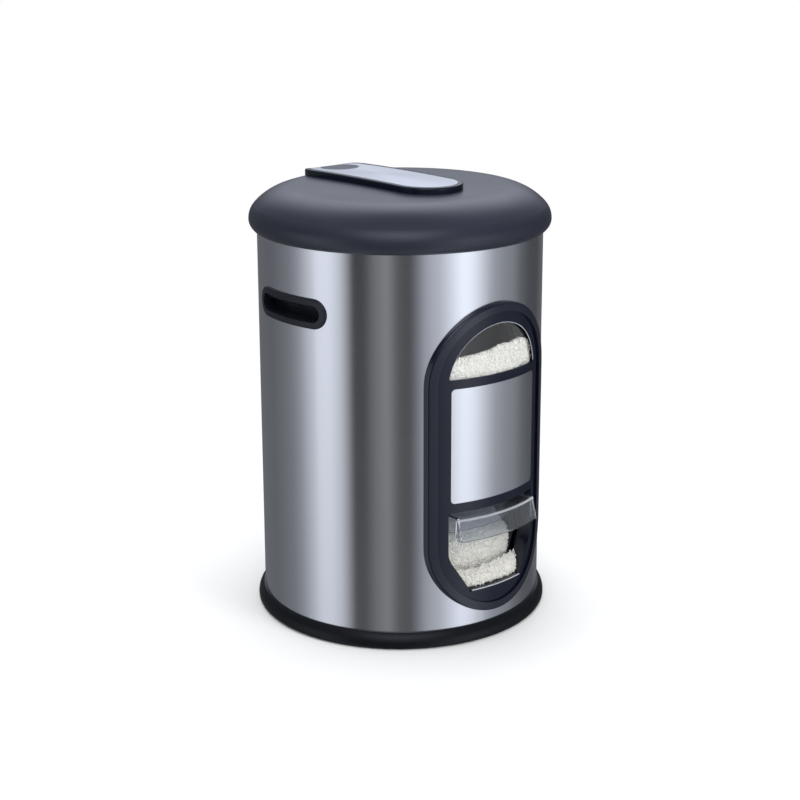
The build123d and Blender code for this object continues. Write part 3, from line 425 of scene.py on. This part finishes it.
def makeGrainTree():
    tree = bpy.data.node_groups.new("riceGrains", "GeometryNodeTree")
    socket = tree.interface.new_socket
    socket("Geometry", in_out="INPUT", socket_type="NodeSocketGeometry")
    for label, kind in (
        ("Density", "NodeSocketFloat"), ("Grain Length", "NodeSocketFloat"),
        ("Grain Width", "NodeSocketFloat"), ("Tilt", "NodeSocketFloat"),
        ("Seed", "NodeSocketInt"), ("Material", "NodeSocketMaterial"),
    ):
        socket(label, in_out="INPUT", socket_type=kind)
    socket("Geometry", in_out="OUTPUT", socket_type="NodeSocketGeometry")
    inside = addNode(tree, "NodeGroupInput", -1200)
    outside = addNode(tree, "NodeGroupOutput", 1200)
    cover = addNode(tree, "GeometryNodeInputNamedAttribute", -1000, -200, data_type="FLOAT")
    cover.inputs["Name"].default_value = "cover"
    amount = addNode(tree, "ShaderNodeMath", -800, -150, operation="MULTIPLY")
    scatter = addNode(tree, "GeometryNodeDistributePointsOnFaces", -550, 100)
    ball = addNode(tree, "GeometryNodeMeshUVSphere", -550, 500)
    setInputs(ball, Segments=grain["segments"], Rings=grain["rings"], Radius=0.5)   # 1 across, to be scaled
    size = addNode(tree, "ShaderNodeCombineXYZ", -550, 350)
    shape = addNode(tree, "GeometryNodeTransform", -300, 450)
    lowTilt = addNode(tree, "ShaderNodeMath", -800, -400, operation="MULTIPLY_ADD")
    highTilt = addNode(tree, "ShaderNodeMath", -800, -600, operation="MULTIPLY_ADD")
    for node, sign in ((lowTilt, -1.0), (highTilt, 1.0)):
        node.inputs[1].default_value = sign
        node.inputs[2].default_value = math.pi / 2      # a grain lies down on its side
    lowTurn = addNode(tree, "ShaderNodeCombineXYZ", -600, -400)
    highTurn = setInputs(addNode(tree, "ShaderNodeCombineXYZ", -600, -600), Z=2 * math.pi)
    turn = addNode(tree, "FunctionNodeRandomValue", -400, -400, data_type="FLOAT_VECTOR")
    spin = addNode(tree, "FunctionNodeEulerToRotation", -200, -400)
    aim = addNode(tree, "FunctionNodeRotateRotation", 0, -200, rotation_space="LOCAL")
    vary = addNode(tree, "FunctionNodeRandomValue", -200, -650, data_type="FLOAT")
    vary.inputs[floatA].default_value = grain["smallest"]
    vary.inputs[floatB].default_value = grain["largest"]
    place = addNode(tree, "GeometryNodeInstanceOnPoints", 250, 200)
    real = addNode(tree, "GeometryNodeRealizeInstances", 450, 200)
    both = addNode(tree, "GeometryNodeJoinGeometry", 650, 100)
    smooth = addNode(tree, "GeometryNodeSetShadeSmooth", 800, 100)
    dress = addNode(tree, "GeometryNodeSetMaterial", 1000, 100)
    link = tree.links.new
    link(inside.outputs["Geometry"], scatter.inputs["Mesh"])
    link(cover.outputs["Attribute"], amount.inputs[0])
    link(inside.outputs["Density"], amount.inputs[1])
    link(amount.outputs[0], scatter.inputs["Density"])
    for node in (scatter, turn, vary):
        link(inside.outputs["Seed"], node.inputs["Seed"])
    link(inside.outputs["Grain Width"], size.inputs["X"])
    link(inside.outputs["Grain Width"], size.inputs["Y"])
    link(inside.outputs["Grain Length"], size.inputs["Z"])
    link(ball.outputs["Mesh"], shape.inputs["Geometry"])
    link(size.outputs["Vector"], shape.inputs["Scale"])
    for node, turned in ((lowTilt, lowTurn), (highTilt, highTurn)):
        link(inside.outputs["Tilt"], node.inputs[0])
        link(node.outputs[0], turned.inputs["X"])
    link(lowTurn.outputs["Vector"], turn.inputs["Min"])
    link(highTurn.outputs["Vector"], turn.inputs["Max"])
    link(turn.outputs["Value"], spin.inputs["Euler"])
    link(scatter.outputs["Rotation"], aim.inputs["Rotation"])
    link(spin.outputs["Rotation"], aim.inputs["Rotate By"])
    link(scatter.outputs["Points"], place.inputs["Points"])
    link(shape.outputs["Geometry"], place.inputs["Instance"])
    link(aim.outputs["Rotation"], place.inputs["Rotation"])
    link(vary.outputs[1], place.inputs["Scale"])
    link(place.outputs["Instances"], real.inputs["Geometry"])
    link(real.outputs["Geometry"], both.inputs["Geometry"])
    link(inside.outputs["Geometry"], both.inputs["Geometry"])
    link(both.outputs["Geometry"], smooth.inputs["Geometry"])
    link(smooth.outputs["Geometry"], dress.inputs["Geometry"])
    link(inside.outputs["Material"], dress.inputs["Material"])
    link(dress.outputs["Geometry"], outside.inputs["Geometry"])
    return tree


grainTree = makeGrainTree()


def closedSheet(name, rows, under):
    # rows of points that show, and the same rows again moved by under, sewn shut all round
    wide, long = len(rows[0]), len(rows)
    top = [point for row in rows for point in row]
    points = top + [tuple(c + d for c, d in zip(point, under)) for point in top]
    back = len(top)
    faces = []
    for j in range(long - 1):
        for i in range(wide - 1):
            a, b, c, d = j * wide + i, j * wide + i + 1, (j + 1) * wide + i + 1, (j + 1) * wide + i
            faces += [(a, b, c, d), (back + d, back + c, back + b, back + a)]
    rim = list(range(wide)) + [j * wide + wide - 1 for j in range(1, long)]
    rim += [(long - 1) * wide + i for i in range(wide - 2, -1, -1)]
    rim += [j * wide for j in range(long - 2, 0, -1)]
    for a, b in zip(rim, rim[1:] + rim[:1]):
        faces.append((b, a, back + a, back + b))
    mesh = bpy.data.meshes.new(name)
    mesh.from_pydata(points, [], faces)
    mesh.update()
    shown = mesh.attributes.new("cover", "FLOAT", "POINT")
    for index in range(back):
        shown.data[index].value = 1.0
    return mesh


def grow(name, mesh, tree, values):
    # runs a Geometry Nodes tree on a mesh and keeps the result as a plain piece on the body
    start = bpy.data.objects.new(name + "Start", mesh)
    bpy.context.scene.collection.objects.link(start)
    modifier = start.modifiers.new(tree.name, "NODES")
    modifier.node_group = tree
    for item in tree.interface.items_tree:
        if item.in_out == "INPUT" and item.name in values:
            modifier[item.identifier] = values[item.name]
    found = start.evaluated_get(bpy.context.evaluated_depsgraph_get())
    piece = bpy.data.objects.new(name, bpy.data.meshes.new_from_object(found))
    bpy.context.scene.collection.objects.link(piece)
    bpy.data.objects.remove(start)
    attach(piece, "body")
    print(name, len(piece.data.polygons), "faces")
    return piece


def coverWithGrains(name, mesh, density, tilt):
    values = {
        "Density": density, "Grain Length": grain["length"], "Grain Width": grain["width"],
        "Tilt": tilt, "Seed": grain["seed"], "Material": materials["riceGrain"],
    }
    return grow(name, mesh, grainTree, values)


noisePlane = 0.37       # any height that isn't a whole number does


def lumps(x, y, scale, height):
    return height * noise.noise(Vector((x * scale, y * scale, noisePlane)))


def spline(points, perSpan):
    # a smooth run through all the points
    ends = [points[0], *points, points[-1]]
    run = []
    for k in range(1, len(ends) - 2):
        for step in range(perSpan):
            t = step / perSpan
            run.append([
                0.5 * (
                    2 * b + (c - a) * t + (2 * a - 5 * b + 4 * c - d) * t * t
                    + (3 * b - a - 3 * c + d) * t**3
                )
                for a, b, c, d in zip(*ends[k - 1:k + 3])
            ])
    return run + [list(points[-1])]


heap = {
    "profile": [    # distance in front of the axis and height, from the sill up to the feed baffle
        (0.1258, 0.0592), (0.1258, 0.0690), (0.1252, 0.0770), (0.1228, 0.0850), (0.1175, 0.0925),
        (0.1100, 0.0993), (0.1005, 0.1060), (0.0895, 0.1125), (0.0790, 0.1172), (0.0680, 0.1190),
    ],
    "columns": 44, "perSpan": 4, "under": (0, 0.005, -0.004), "density": 210000.0, "tilt": 0.5,
    "halfWidth": 0.0525, "sill": 0.0585, "sillHalf": 0.0312, "spread": 0.625,   # narrower towards the sill
    "bow": 0.127,                                                               # it follows the shutter
    "lumpScale": 46.0, "lumpHeight": 0.0045, "lumpFrom": 0.058, "lumpRun": 0.03,
    "lean": 0.010, "leanAt": 0.05, "leanFrom": 0.075, "leanRun": 0.03,          # it is lower on the right
}


def makeHeap(look):
    rows = []
    for reach, height in spline(look["profile"], look["perSpan"]):
        half = min(look["halfWidth"], look["sillHalf"] + (height - look["sill"]) * look["spread"])
        lumpy = min(1.0, (height - look["lumpFrom"]) / look["lumpRun"])
        leaning = min(1.0, max(0.0, height - look["leanFrom"]) / look["leanRun"])
        row = []
        for i in range(look["columns"] + 1):
            x = half * (2 * i / look["columns"] - 1)
            bow = look["bow"] - math.sqrt(look["bow"]**2 - x * x)
            rise = lumps(x, height + reach, look["lumpScale"], look["lumpHeight"]) * lumpy
            lean = look["lean"] * x / look["leanAt"] * leaning
            row.append((x, -reach + bow + max(0.0, rise) / 2, height + rise - lean / 2))
        rows.append(row)
    mesh = closedSheet("riceHeap", rows, look["under"])
    return coverWithGrains("rice_heap", mesh, look["density"], look["tilt"])


toe = {
    "profile": [    # rice on the sill, in front of the slot that the shutter drops into
        (0.1428, 0.0572), (0.1420, 0.0606), (0.1404, 0.0645), (0.1376, 0.0686), (0.1338, 0.0718),
    ],
    "columns": 40, "perSpan": 3, "under": (0, 0, -0.0008), "density": 210000.0, "tilt": 0.5,
    "sill": 0.0565, "sillHalf": 0.0330, "spread": 0.625,
    "lumpScale": 60.0, "lumpHeight": 0.0016, "lumpRun": 0.008,
}


def makeToe(look):
    rows = []
    for reach, height in spline(look["profile"], look["perSpan"]):
        half = look["sillHalf"] + (height - look["sill"]) * look["spread"]
        lumpy = min(1.0, (height - look["sill"]) / look["lumpRun"])
        row = []
        for i in range(look["columns"] + 1):
            x = half * (2 * i / look["columns"] - 1)
            rise = lumps(x, reach, look["lumpScale"], look["lumpHeight"]) * lumpy
            row.append((x, -math.sqrt(reach**2 - x * x), height + rise))
        rows.append(row)
    mesh = closedSheet("riceToe", rows, look["under"])
    return coverWithGrains("rice_toe", mesh, look["density"], look["tilt"])


windowRice = {
    "front": 0.1418, "back": 0.1192, "sill": 0.2732, "radius": 0.0572, "center": 0.268, "half": 0.05,
    "level": 0.2955, "crest": 0.0048, "crestAt": 0.014, "crestTurn": 2.1,   # highest right of the middle
    "edgeScale": 60.0, "paintedEdgeHeight": 0.003, "edgeRow": 0.3, "edgeRound": 0.0015,
    "fall": 0.021, "fallPower": 1.4,                                        # it slides off the window's ledge
    "topScale": 70.0, "topHeight": 0.003,
    "columns": 44, "frontRows": 9, "topRows": 12, "under": (0, 0.004, -0.003),
    "density": 190000.0, "tilt": 0.5,
}


def windowLevel(x, look):
    wave = look["crest"] * math.cos(look["crestTurn"] * (x - look["crestAt"]) / look["half"])
    return look["level"] + wave + lumps(x, look["edgeRow"], look["edgeScale"], look["paintedEdgeHeight"])


def makeWindowRice(look):
    rows = []
    for j in range(look["frontRows"] + look["topRows"] + 1):
        row = []
        for i in range(look["columns"] + 1):
            share = 2 * i / look["columns"] - 1
            high = windowLevel(share * look["half"], look)
            if j <= look["frontRows"]:
                height = look["sill"] + (high - look["sill"]) * j / look["frontRows"]
                reach = look["front"] - look["edgeRound"] * (j == look["frontRows"])
            else:
                inward = (j - look["frontRows"]) / look["topRows"]
                reach = look["front"] - look["edgeRound"] - (look["front"] - look["back"]) * inward
                height = high - look["fall"] * inward**look["fallPower"]
            half = math.sqrt(look["radius"]**2 - max(0.0, min(height, high) - look["center"])**2)
            x = share * half
            height += lumps(x, reach, look["topScale"], look["topHeight"]) * (j > look["frontRows"])
            row.append((x, -math.sqrt(reach**2 - x * x), height))
        rows.append(row)
    mesh = closedSheet("riceWindow", rows, look["under"])
    return coverWithGrains("rice_window", mesh, look["density"], look["tilt"])


hopperRice = {
    "radius": 0.1185, "level": 0.236, "mound": 0.012, "skirt": 0.02, "turns": 72, "rings": 20,
    "lumpScale": 30.0, "lumpHeight": 0.006, "density": 95000.0, "tilt": 0.6,
}


def hopperLevel(x, y, reach, look):
    mound = look["mound"] * (1 - (reach / look["radius"])**2)
    return look["level"] + mound + lumps(x, y, look["lumpScale"], look["lumpHeight"])


def makeHopperRice(look):
    mesh = bpy.data.meshes.new("riceHopper")
    build = bmesh.new()
    rings = []
    for k in range(1, look["rings"] + 1):
        reach = look["radius"] * k / look["rings"]
        ring = []
        for n in range(look["turns"]):
            angle = 2 * math.pi * n / look["turns"]
            x, y = reach * math.cos(angle), reach * math.sin(angle)
            ring.append(build.verts.new((x, y, hopperLevel(x, y, reach, look))))
        rings.append(ring)
    middle = build.verts.new((0, 0, hopperLevel(0, 0, 0, look)))
    shown = len(build.verts)
    foot = [build.verts.new((v.co.x, v.co.y, v.co.z - look["skirt"])) for v in rings[-1]]
    for n in range(look["turns"]):
        m = (n + 1) % look["turns"]
        build.faces.new((middle, rings[0][n], rings[0][m]))
        for near, far in zip(rings, rings[1:]):
            build.faces.new((near[n], far[n], far[m], near[m]))
        build.faces.new((rings[-1][n], foot[n], foot[m], rings[-1][m]))
    build.faces.new(list(reversed(foot)))
    build.to_mesh(mesh)
    build.free()
    cover = mesh.attributes.new("cover", "FLOAT", "POINT")
    for index in range(shown):
        cover.data[index].value = 1.0
    return coverWithGrains("rice_fill", mesh, look["density"], look["tilt"])


makeHeap(heap)
makeToe(toe)
makeWindowRice(windowRice)
makeHopperRice(hopperRice)
print("rice laid in the bay, the window and the hopper")


# light grey lines swept by Geometry Nodes on the window's edge and on the sill's bead: painted highlights
# along these edges

lipSides = 10


def makeLipTree():
    tree = bpy.data.node_groups.new("lipSweep", "GeometryNodeTree")
    socket = tree.interface.new_socket
    socket("Geometry", in_out="INPUT", socket_type="NodeSocketGeometry")
    socket("Thickness", in_out="INPUT", socket_type="NodeSocketFloat")
    socket("Material", in_out="INPUT", socket_type="NodeSocketMaterial")
    socket("Geometry", in_out="OUTPUT", socket_type="NodeSocketGeometry")
    inside = addNode(tree, "NodeGroupInput", -600)
    line = addNode(tree, "GeometryNodeMeshToCurve", -400)
    ring = addNode(tree, "GeometryNodeCurvePrimitiveCircle", -400, -200)
    setInputs(ring, Resolution=lipSides)
    sweep = addNode(tree, "GeometryNodeCurveToMesh", -150)
    setInputs(sweep, Fill_Caps=True)
    smooth = addNode(tree, "GeometryNodeSetShadeSmooth", 50)
    real = addNode(tree, "GeometryNodeRealizeInstances", 200)
    dress = addNode(tree, "GeometryNodeSetMaterial", 400)
    outside = addNode(tree, "NodeGroupOutput", 600)
    link = tree.links.new
    link(inside.outputs["Geometry"], line.inputs["Mesh"])
    link(inside.outputs["Thickness"], ring.inputs["Radius"])
    link(line.outputs["Curve"], sweep.inputs["Curve"])
    link(ring.outputs["Curve"], sweep.inputs["Profile Curve"])
    link(sweep.outputs["Mesh"], smooth.inputs["Geometry"])
    link(smooth.outputs["Geometry"], real.inputs["Geometry"])
    link(real.outputs["Geometry"], dress.inputs["Geometry"])
    link(inside.outputs["Material"], dress.inputs["Material"])
    link(dress.outputs["Geometry"], outside.inputs["Geometry"])
    return tree


lipTree = makeLipTree()


def sweepLip(name, points, thick):
    mesh = bpy.data.meshes.new(name + "Line")
    mesh.from_pydata(points, [(k, k + 1) for k in range(len(points) - 1)], [])
    values = {"Thickness": thick, "Material": materials["lipHighlightPlastic"]}
    return grow(name, mesh, lipTree, values)


windowLip = {
    "reach": 0.1479, "radius": 0.0566, "center": 0.268, "foot": 0.2752, "thick": 0.00035, "steps": 72,
}


def makeWindowLip(look):
    low = math.asin((look["foot"] - look["center"]) / look["radius"])
    points = []
    for k in range(look["steps"] + 1):
        angle = low + (math.pi - 2 * low) * k / look["steps"]
        x, z = look["radius"] * math.cos(angle), look["center"] + look["radius"] * math.sin(angle)
        points.append((x, -math.sqrt(look["reach"]**2 - x * x), z))
    return sweepLip("window_lip", points, look["thick"])


sillLip = {"reach": 0.1497, "height": 0.0556, "half": 0.0325, "thick": 0.0006, "steps": 30}


def makeSillLip(look):
    points = []
    for k in range(look["steps"] + 1):
        x = look["half"] * (2 * k / look["steps"] - 1)
        points.append((x, -math.sqrt(look["reach"]**2 - x * x), look["height"]))
    return sweepLip("sill_lip", points, look["thick"])


makeWindowLip(windowLip)
makeSillLip(sillLip)
print("window and sill lines swept")


# floor, light and camera

paper = {
    "size": 14.0, "color": (0.93, 0.93, 0.93, 1),
    "shadowNear": 0.24, "shadowFar": 0.80,      # it turns to plain white between these
}


def makeFloor():
    mesh = bpy.data.meshes.new("floor")
    half = paper["size"] / 2
    corners = [(-half, -half, 0), (half, -half, 0), (half, half, 0), (-half, half, 0)]
    mesh.from_pydata(corners, [], [(0, 1, 2, 3)])
    floor = bpy.data.objects.new("floor", mesh)
    bpy.context.scene.collection.objects.link(floor)
    material, tree, shader = newMaterial("floorPaper")
    setInputs(shader, Base_Color=paper["color"], Roughness=1.0, Specular_IOR_Level=0.0)
    coord = addNode(tree, "ShaderNodeTexCoord", -700, 300)
    away = addNode(tree, "ShaderNodeVectorMath", -500, 300, operation="LENGTH")
    fade = addNode(tree, "ShaderNodeMapRange", -300, 300, interpolation_type="SMOOTHSTEP")
    setInputs(fade, From_Min=paper["shadowNear"], From_Max=paper["shadowFar"])
    path = addNode(tree, "ShaderNodeLightPath", -500, 700)
    seen = addNode(tree, "ShaderNodeMath", -300, 600, operation="MAXIMUM")
    both = addNode(tree, "ShaderNodeMath", -100, 450, operation="MULTIPLY")
    white = setInputs(addNode(tree, "ShaderNodeEmission", 300, 300), Strength=1.0)
    choose = addNode(tree, "ShaderNodeMixShader", 520, 150)
    link = tree.links.new
    link(coord.outputs["Object"], away.inputs[0])
    link(away.outputs["Value"], fade.inputs["Value"])
    link(path.outputs["Is Camera Ray"], seen.inputs[0])
    link(path.outputs["Is Transmission Ray"], seen.inputs[1])
    link(seen.outputs[0], both.inputs[0])
    link(fade.outputs["Result"], both.inputs[1])
    link(both.outputs[0], choose.inputs[0])
    link(shader.outputs["BSDF"], choose.inputs[1])
    link(white.outputs[0], choose.inputs[2])
    link(choose.outputs["Shader"], tree.nodes["Material Output"].inputs["Surface"])
    mesh.materials.append(material)
    floor.visible_glossy = False    # the steel mirrors the studio's cards instead


view = {
    "place": (-1.0787, -1.2574, 0.7143),
    "heading": 41.21,       # degrees from +Y towards +X
    "pitch": 15.17,         # degrees below level
    "lens": 74.55, "sensor": 36, "shift": (-0.021, -0.06), "farthest": 50,
}


def makeCamera():
    data = bpy.data.cameras.new("photoCamera")
    camera = bpy.data.objects.new("photoCamera", data)
    bpy.context.scene.collection.objects.link(camera)
    camera.location = view["place"]
    camera.rotation_euler = (math.radians(90 - view["pitch"]), 0, -math.radians(view["heading"]))
    data.sensor_width = view["sensor"]
    data.lens = view["lens"]
    data.shift_x, data.shift_y = view["shift"]
    data.clip_end = view["farthest"]
    bpy.context.scene.camera = camera


sky = {"low": 0.16, "high": 0.85, "highFrom": 0.8, "color": (0.97, 0.985, 1, 1)}    # stronger from above


def softLight(tree, parts):
    climb = addNode(tree, "ShaderNodeMapRange", -800, -400)
    setInputs(climb, From_Max=sky["highFrom"], To_Min=sky["low"], To_Max=sky["high"])
    soft = setInputs(addNode(tree, "ShaderNodeBackground", 100, -300), Color=sky["color"])
    tree.links.new(parts.outputs["Z"], climb.inputs["Value"])
    tree.links.new(climb.outputs["Result"], soft.inputs["Strength"])
    return soft


cards = {
    "stops": [      # what the steel mirrors: degrees round from the camera, to its right, and brightness
        (-180, 0.14), (-125, 0.13), (-110, 0.17), (-98, 0.22), (-88, 0.34), (-78, 0.60), (-68, 0.92),
        (-58, 0.94), (-49, 0.72), (-42, 0.34), (-37, 0.04), (-28, 0.06), (-20, 0.17), (-10, 0.26), (-1, 0.09),
        (8, 0.06), (14, 0.20), (22, 0.46), (32, 0.60), (42, 0.92), (51, 1.22), (60, 1.08), (70, 0.70),
        (80, 0.40), (92, 0.29), (102, 0.25), (112, 0.14), (126, 0.08), (142, 0.07), (158, 0.13), (180, 0.14),
    ],
    "tint": (-0.045, -0.01, 0.09),
    "greyFrom": -45, "greyTo": 12, "greyTint": 0.25,        # the dark cards in the middle are greyer
    "lowColor": (0.17, 0.175, 0.19, 1), "lowShare": 0.34,   # the bands are weaker near the floor
    "lowFrom": -0.20, "lowTo": -0.44,
}


def mirroredCards(tree, parts, turned):
    front = addNode(tree, "ShaderNodeMath", -900, 100, operation="MULTIPLY")
    front.inputs[1].default_value = -1.0
    around = addNode(tree, "ShaderNodeMath", -700, 200, operation="ARCTAN2")
    share = addNode(tree, "ShaderNodeMapRange", -500, 200)
    setInputs(share, From_Min=-math.pi, From_Max=math.pi)
    bands = addNode(tree, "ShaderNodeValToRGB", -300, 200)
    stops = []
    for degrees, bright in cards["stops"]:
        cool = cards["greyTint"] if cards["greyFrom"] < degrees < cards["greyTo"] else 1.0
        stops.append(((degrees + 180) / 360, (*(bright * (1 + tint * cool) for tint in cards["tint"]), 1)))
    fillRamp(bands, stops)
    down = addNode(tree, "ShaderNodeMapRange", -500, 0)
    setInputs(down, From_Min=cards["lowFrom"], From_Max=cards["lowTo"], To_Max=cards["lowShare"])
    fade = addNode(tree, "ShaderNodeMix", -100, 300, data_type="RGBA")
    fade.inputs[mixB].default_value = cards["lowColor"]
    link = tree.links.new
    link(turned.outputs["Y"], front.inputs[0])
    link(turned.outputs["X"], around.inputs[0])
    link(front.outputs[0], around.inputs[1])
    link(around.outputs[0], share.inputs["Value"])
    link(share.outputs["Result"], bands.inputs["Fac"])
    link(parts.outputs["Z"], down.inputs["Value"])
    link(down.outputs["Result"], fade.inputs[0])
    link(bands.outputs["Color"], fade.inputs[mixA])
    return fade.outputs[mixResult]


overhead = {
    "stops": [      # what the lid mirrors: the direction's height and brightness
        (0.10, 0.86), (0.30, 0.86), (0.55, 1.65), (0.78, 1.85), (0.95, 0.15),
    ],
    "tint": (1.0, 1.05, 1.19),
    "from": 0.06, "to": 0.28,                           # it takes over from the cards between these heights
    "fadeFrom": 0.15, "fadeTo": 0.60, "side": 0.15,     # and fades towards both sides
}


def mirroredOverhead(tree, parts, turned):
    above = addNode(tree, "ShaderNodeValToRGB", -250, -100)
    fillRamp(above, [
        (height, (*(bright * tint for tint in overhead["tint"]), 1)) for height, bright in overhead["stops"]
    ])
    aside = addNode(tree, "ShaderNodeMath", -500, -300, operation="ABSOLUTE")
    narrow = addNode(tree, "ShaderNodeMapRange", -300, -300, interpolation_type="SMOOTHSTEP")
    setInputs(narrow, From_Min=overhead["fadeFrom"], From_Max=overhead["fadeTo"])
    setInputs(narrow, To_Min=1.0, To_Max=overhead["side"])
    middle = addNode(tree, "ShaderNodeVectorMath", -50, -150, operation="SCALE")
    link = tree.links.new
    link(parts.outputs["Z"], above.inputs["Fac"])
    link(turned.outputs["X"], aside.inputs[0])
    link(aside.outputs[0], narrow.inputs["Value"])
    link(above.outputs["Color"], middle.inputs[0])
    link(narrow.outputs["Result"], middle.inputs["Scale"])
    return middle.outputs[0]


def glossyLight(tree, coord, parts):
    spin = addNode(tree, "ShaderNodeVectorRotate", -1300, 200, rotation_type="Z_AXIS")
    setInputs(spin, Angle=math.radians(view["heading"]))
    turned = addNode(tree, "ShaderNodeSeparateXYZ", -1100, 200)
    up = addNode(tree, "ShaderNodeMapRange", -500, -100, interpolation_type="SMOOTHSTEP")
    setInputs(up, From_Min=overhead["from"], From_Max=overhead["to"])
    mirror = addNode(tree, "ShaderNodeMix", 0, 200, data_type="RGBA")
    glossy = setInputs(addNode(tree, "ShaderNodeBackground", 200, 200), Strength=1.0)
    link = tree.links.new
    link(coord.outputs["Generated"], spin.inputs["Vector"])
    link(spin.outputs["Vector"], turned.inputs[0])
    link(parts.outputs["Z"], up.inputs["Value"])
    link(up.outputs["Result"], mirror.inputs[0])
    link(mirroredCards(tree, parts, turned), mirror.inputs[mixA])
    link(mirroredOverhead(tree, parts, turned), mirror.inputs[mixB])
    link(mirror.outputs[mixResult], glossy.inputs["Color"])
    return glossy


def makeWorld():
    world = bpy.data.worlds.new("studioWorld")
    bpy.context.scene.world = world
    world.use_nodes = True
    tree = world.node_tree
    tree.nodes.clear()
    link = tree.links.new
    coord = addNode(tree, "ShaderNodeTexCoord", -1500)
    parts = addNode(tree, "ShaderNodeSeparateXYZ", -1100, -200)
    link(coord.outputs["Generated"], parts.inputs[0])
    soft = softLight(tree, parts)
    glossy = glossyLight(tree, coord, parts)
    # plain white behind the bin
    path = addNode(tree, "ShaderNodeLightPath", -100, 700)
    seen = addNode(tree, "ShaderNodeMath", 200, 600, operation="MAXIMUM")
    white = setInputs(addNode(tree, "ShaderNodeBackground", 200, 400), Color=(1, 1, 1, 1), Strength=1.0)
    first = addNode(tree, "ShaderNodeMixShader", 450, 0)
    last = addNode(tree, "ShaderNodeMixShader", 650, 200)
    output = addNode(tree, "ShaderNodeOutputWorld", 850, 200)
    link(path.outputs["Is Glossy Ray"], first.inputs[0])
    link(soft.outputs[0], first.inputs[1])
    link(glossy.outputs[0], first.inputs[2])
    link(path.outputs["Is Camera Ray"], seen.inputs[0])
    link(path.outputs["Is Transmission Ray"], seen.inputs[1])
    link(seen.outputs[0], last.inputs[0])
    link(first.outputs[0], last.inputs[1])
    link(white.outputs[0], last.inputs[2])
    link(last.outputs[0], output.inputs["Surface"])


lamps = {
    "key": {"place": (-1.4, -1.5, 1.7), "size": 1.2, "power": 10.0},
    "front": {"place": (0.3, -1.9, 1.0), "size": 0.9, "power": 14.0},
    "top": {"place": (0.1, 0.3, 2.2), "size": 1.6, "power": 24.0},
}
lampTarget = (0, 0, 0.22)


def makeLamps():
    for name, lamp in lamps.items():
        data = bpy.data.lights.new(name, "AREA")
        data.shape = "DISK"
        data.size = lamp["size"]
        data.energy = lamp["power"]
        light = bpy.data.objects.new(name, data)
        bpy.context.scene.collection.objects.link(light)
        light.location = lamp["place"]
        aim = Vector(lampTarget) - Vector(lamp["place"])
        light.rotation_euler = aim.to_track_quat("-Z", "Y").to_euler()
        light.visible_glossy = False


makeFloor()
makeWorld()
makeLamps()
makeCamera()
bpy.context.scene.view_settings.view_transform = "Standard"
print("stage, light and camera ready")
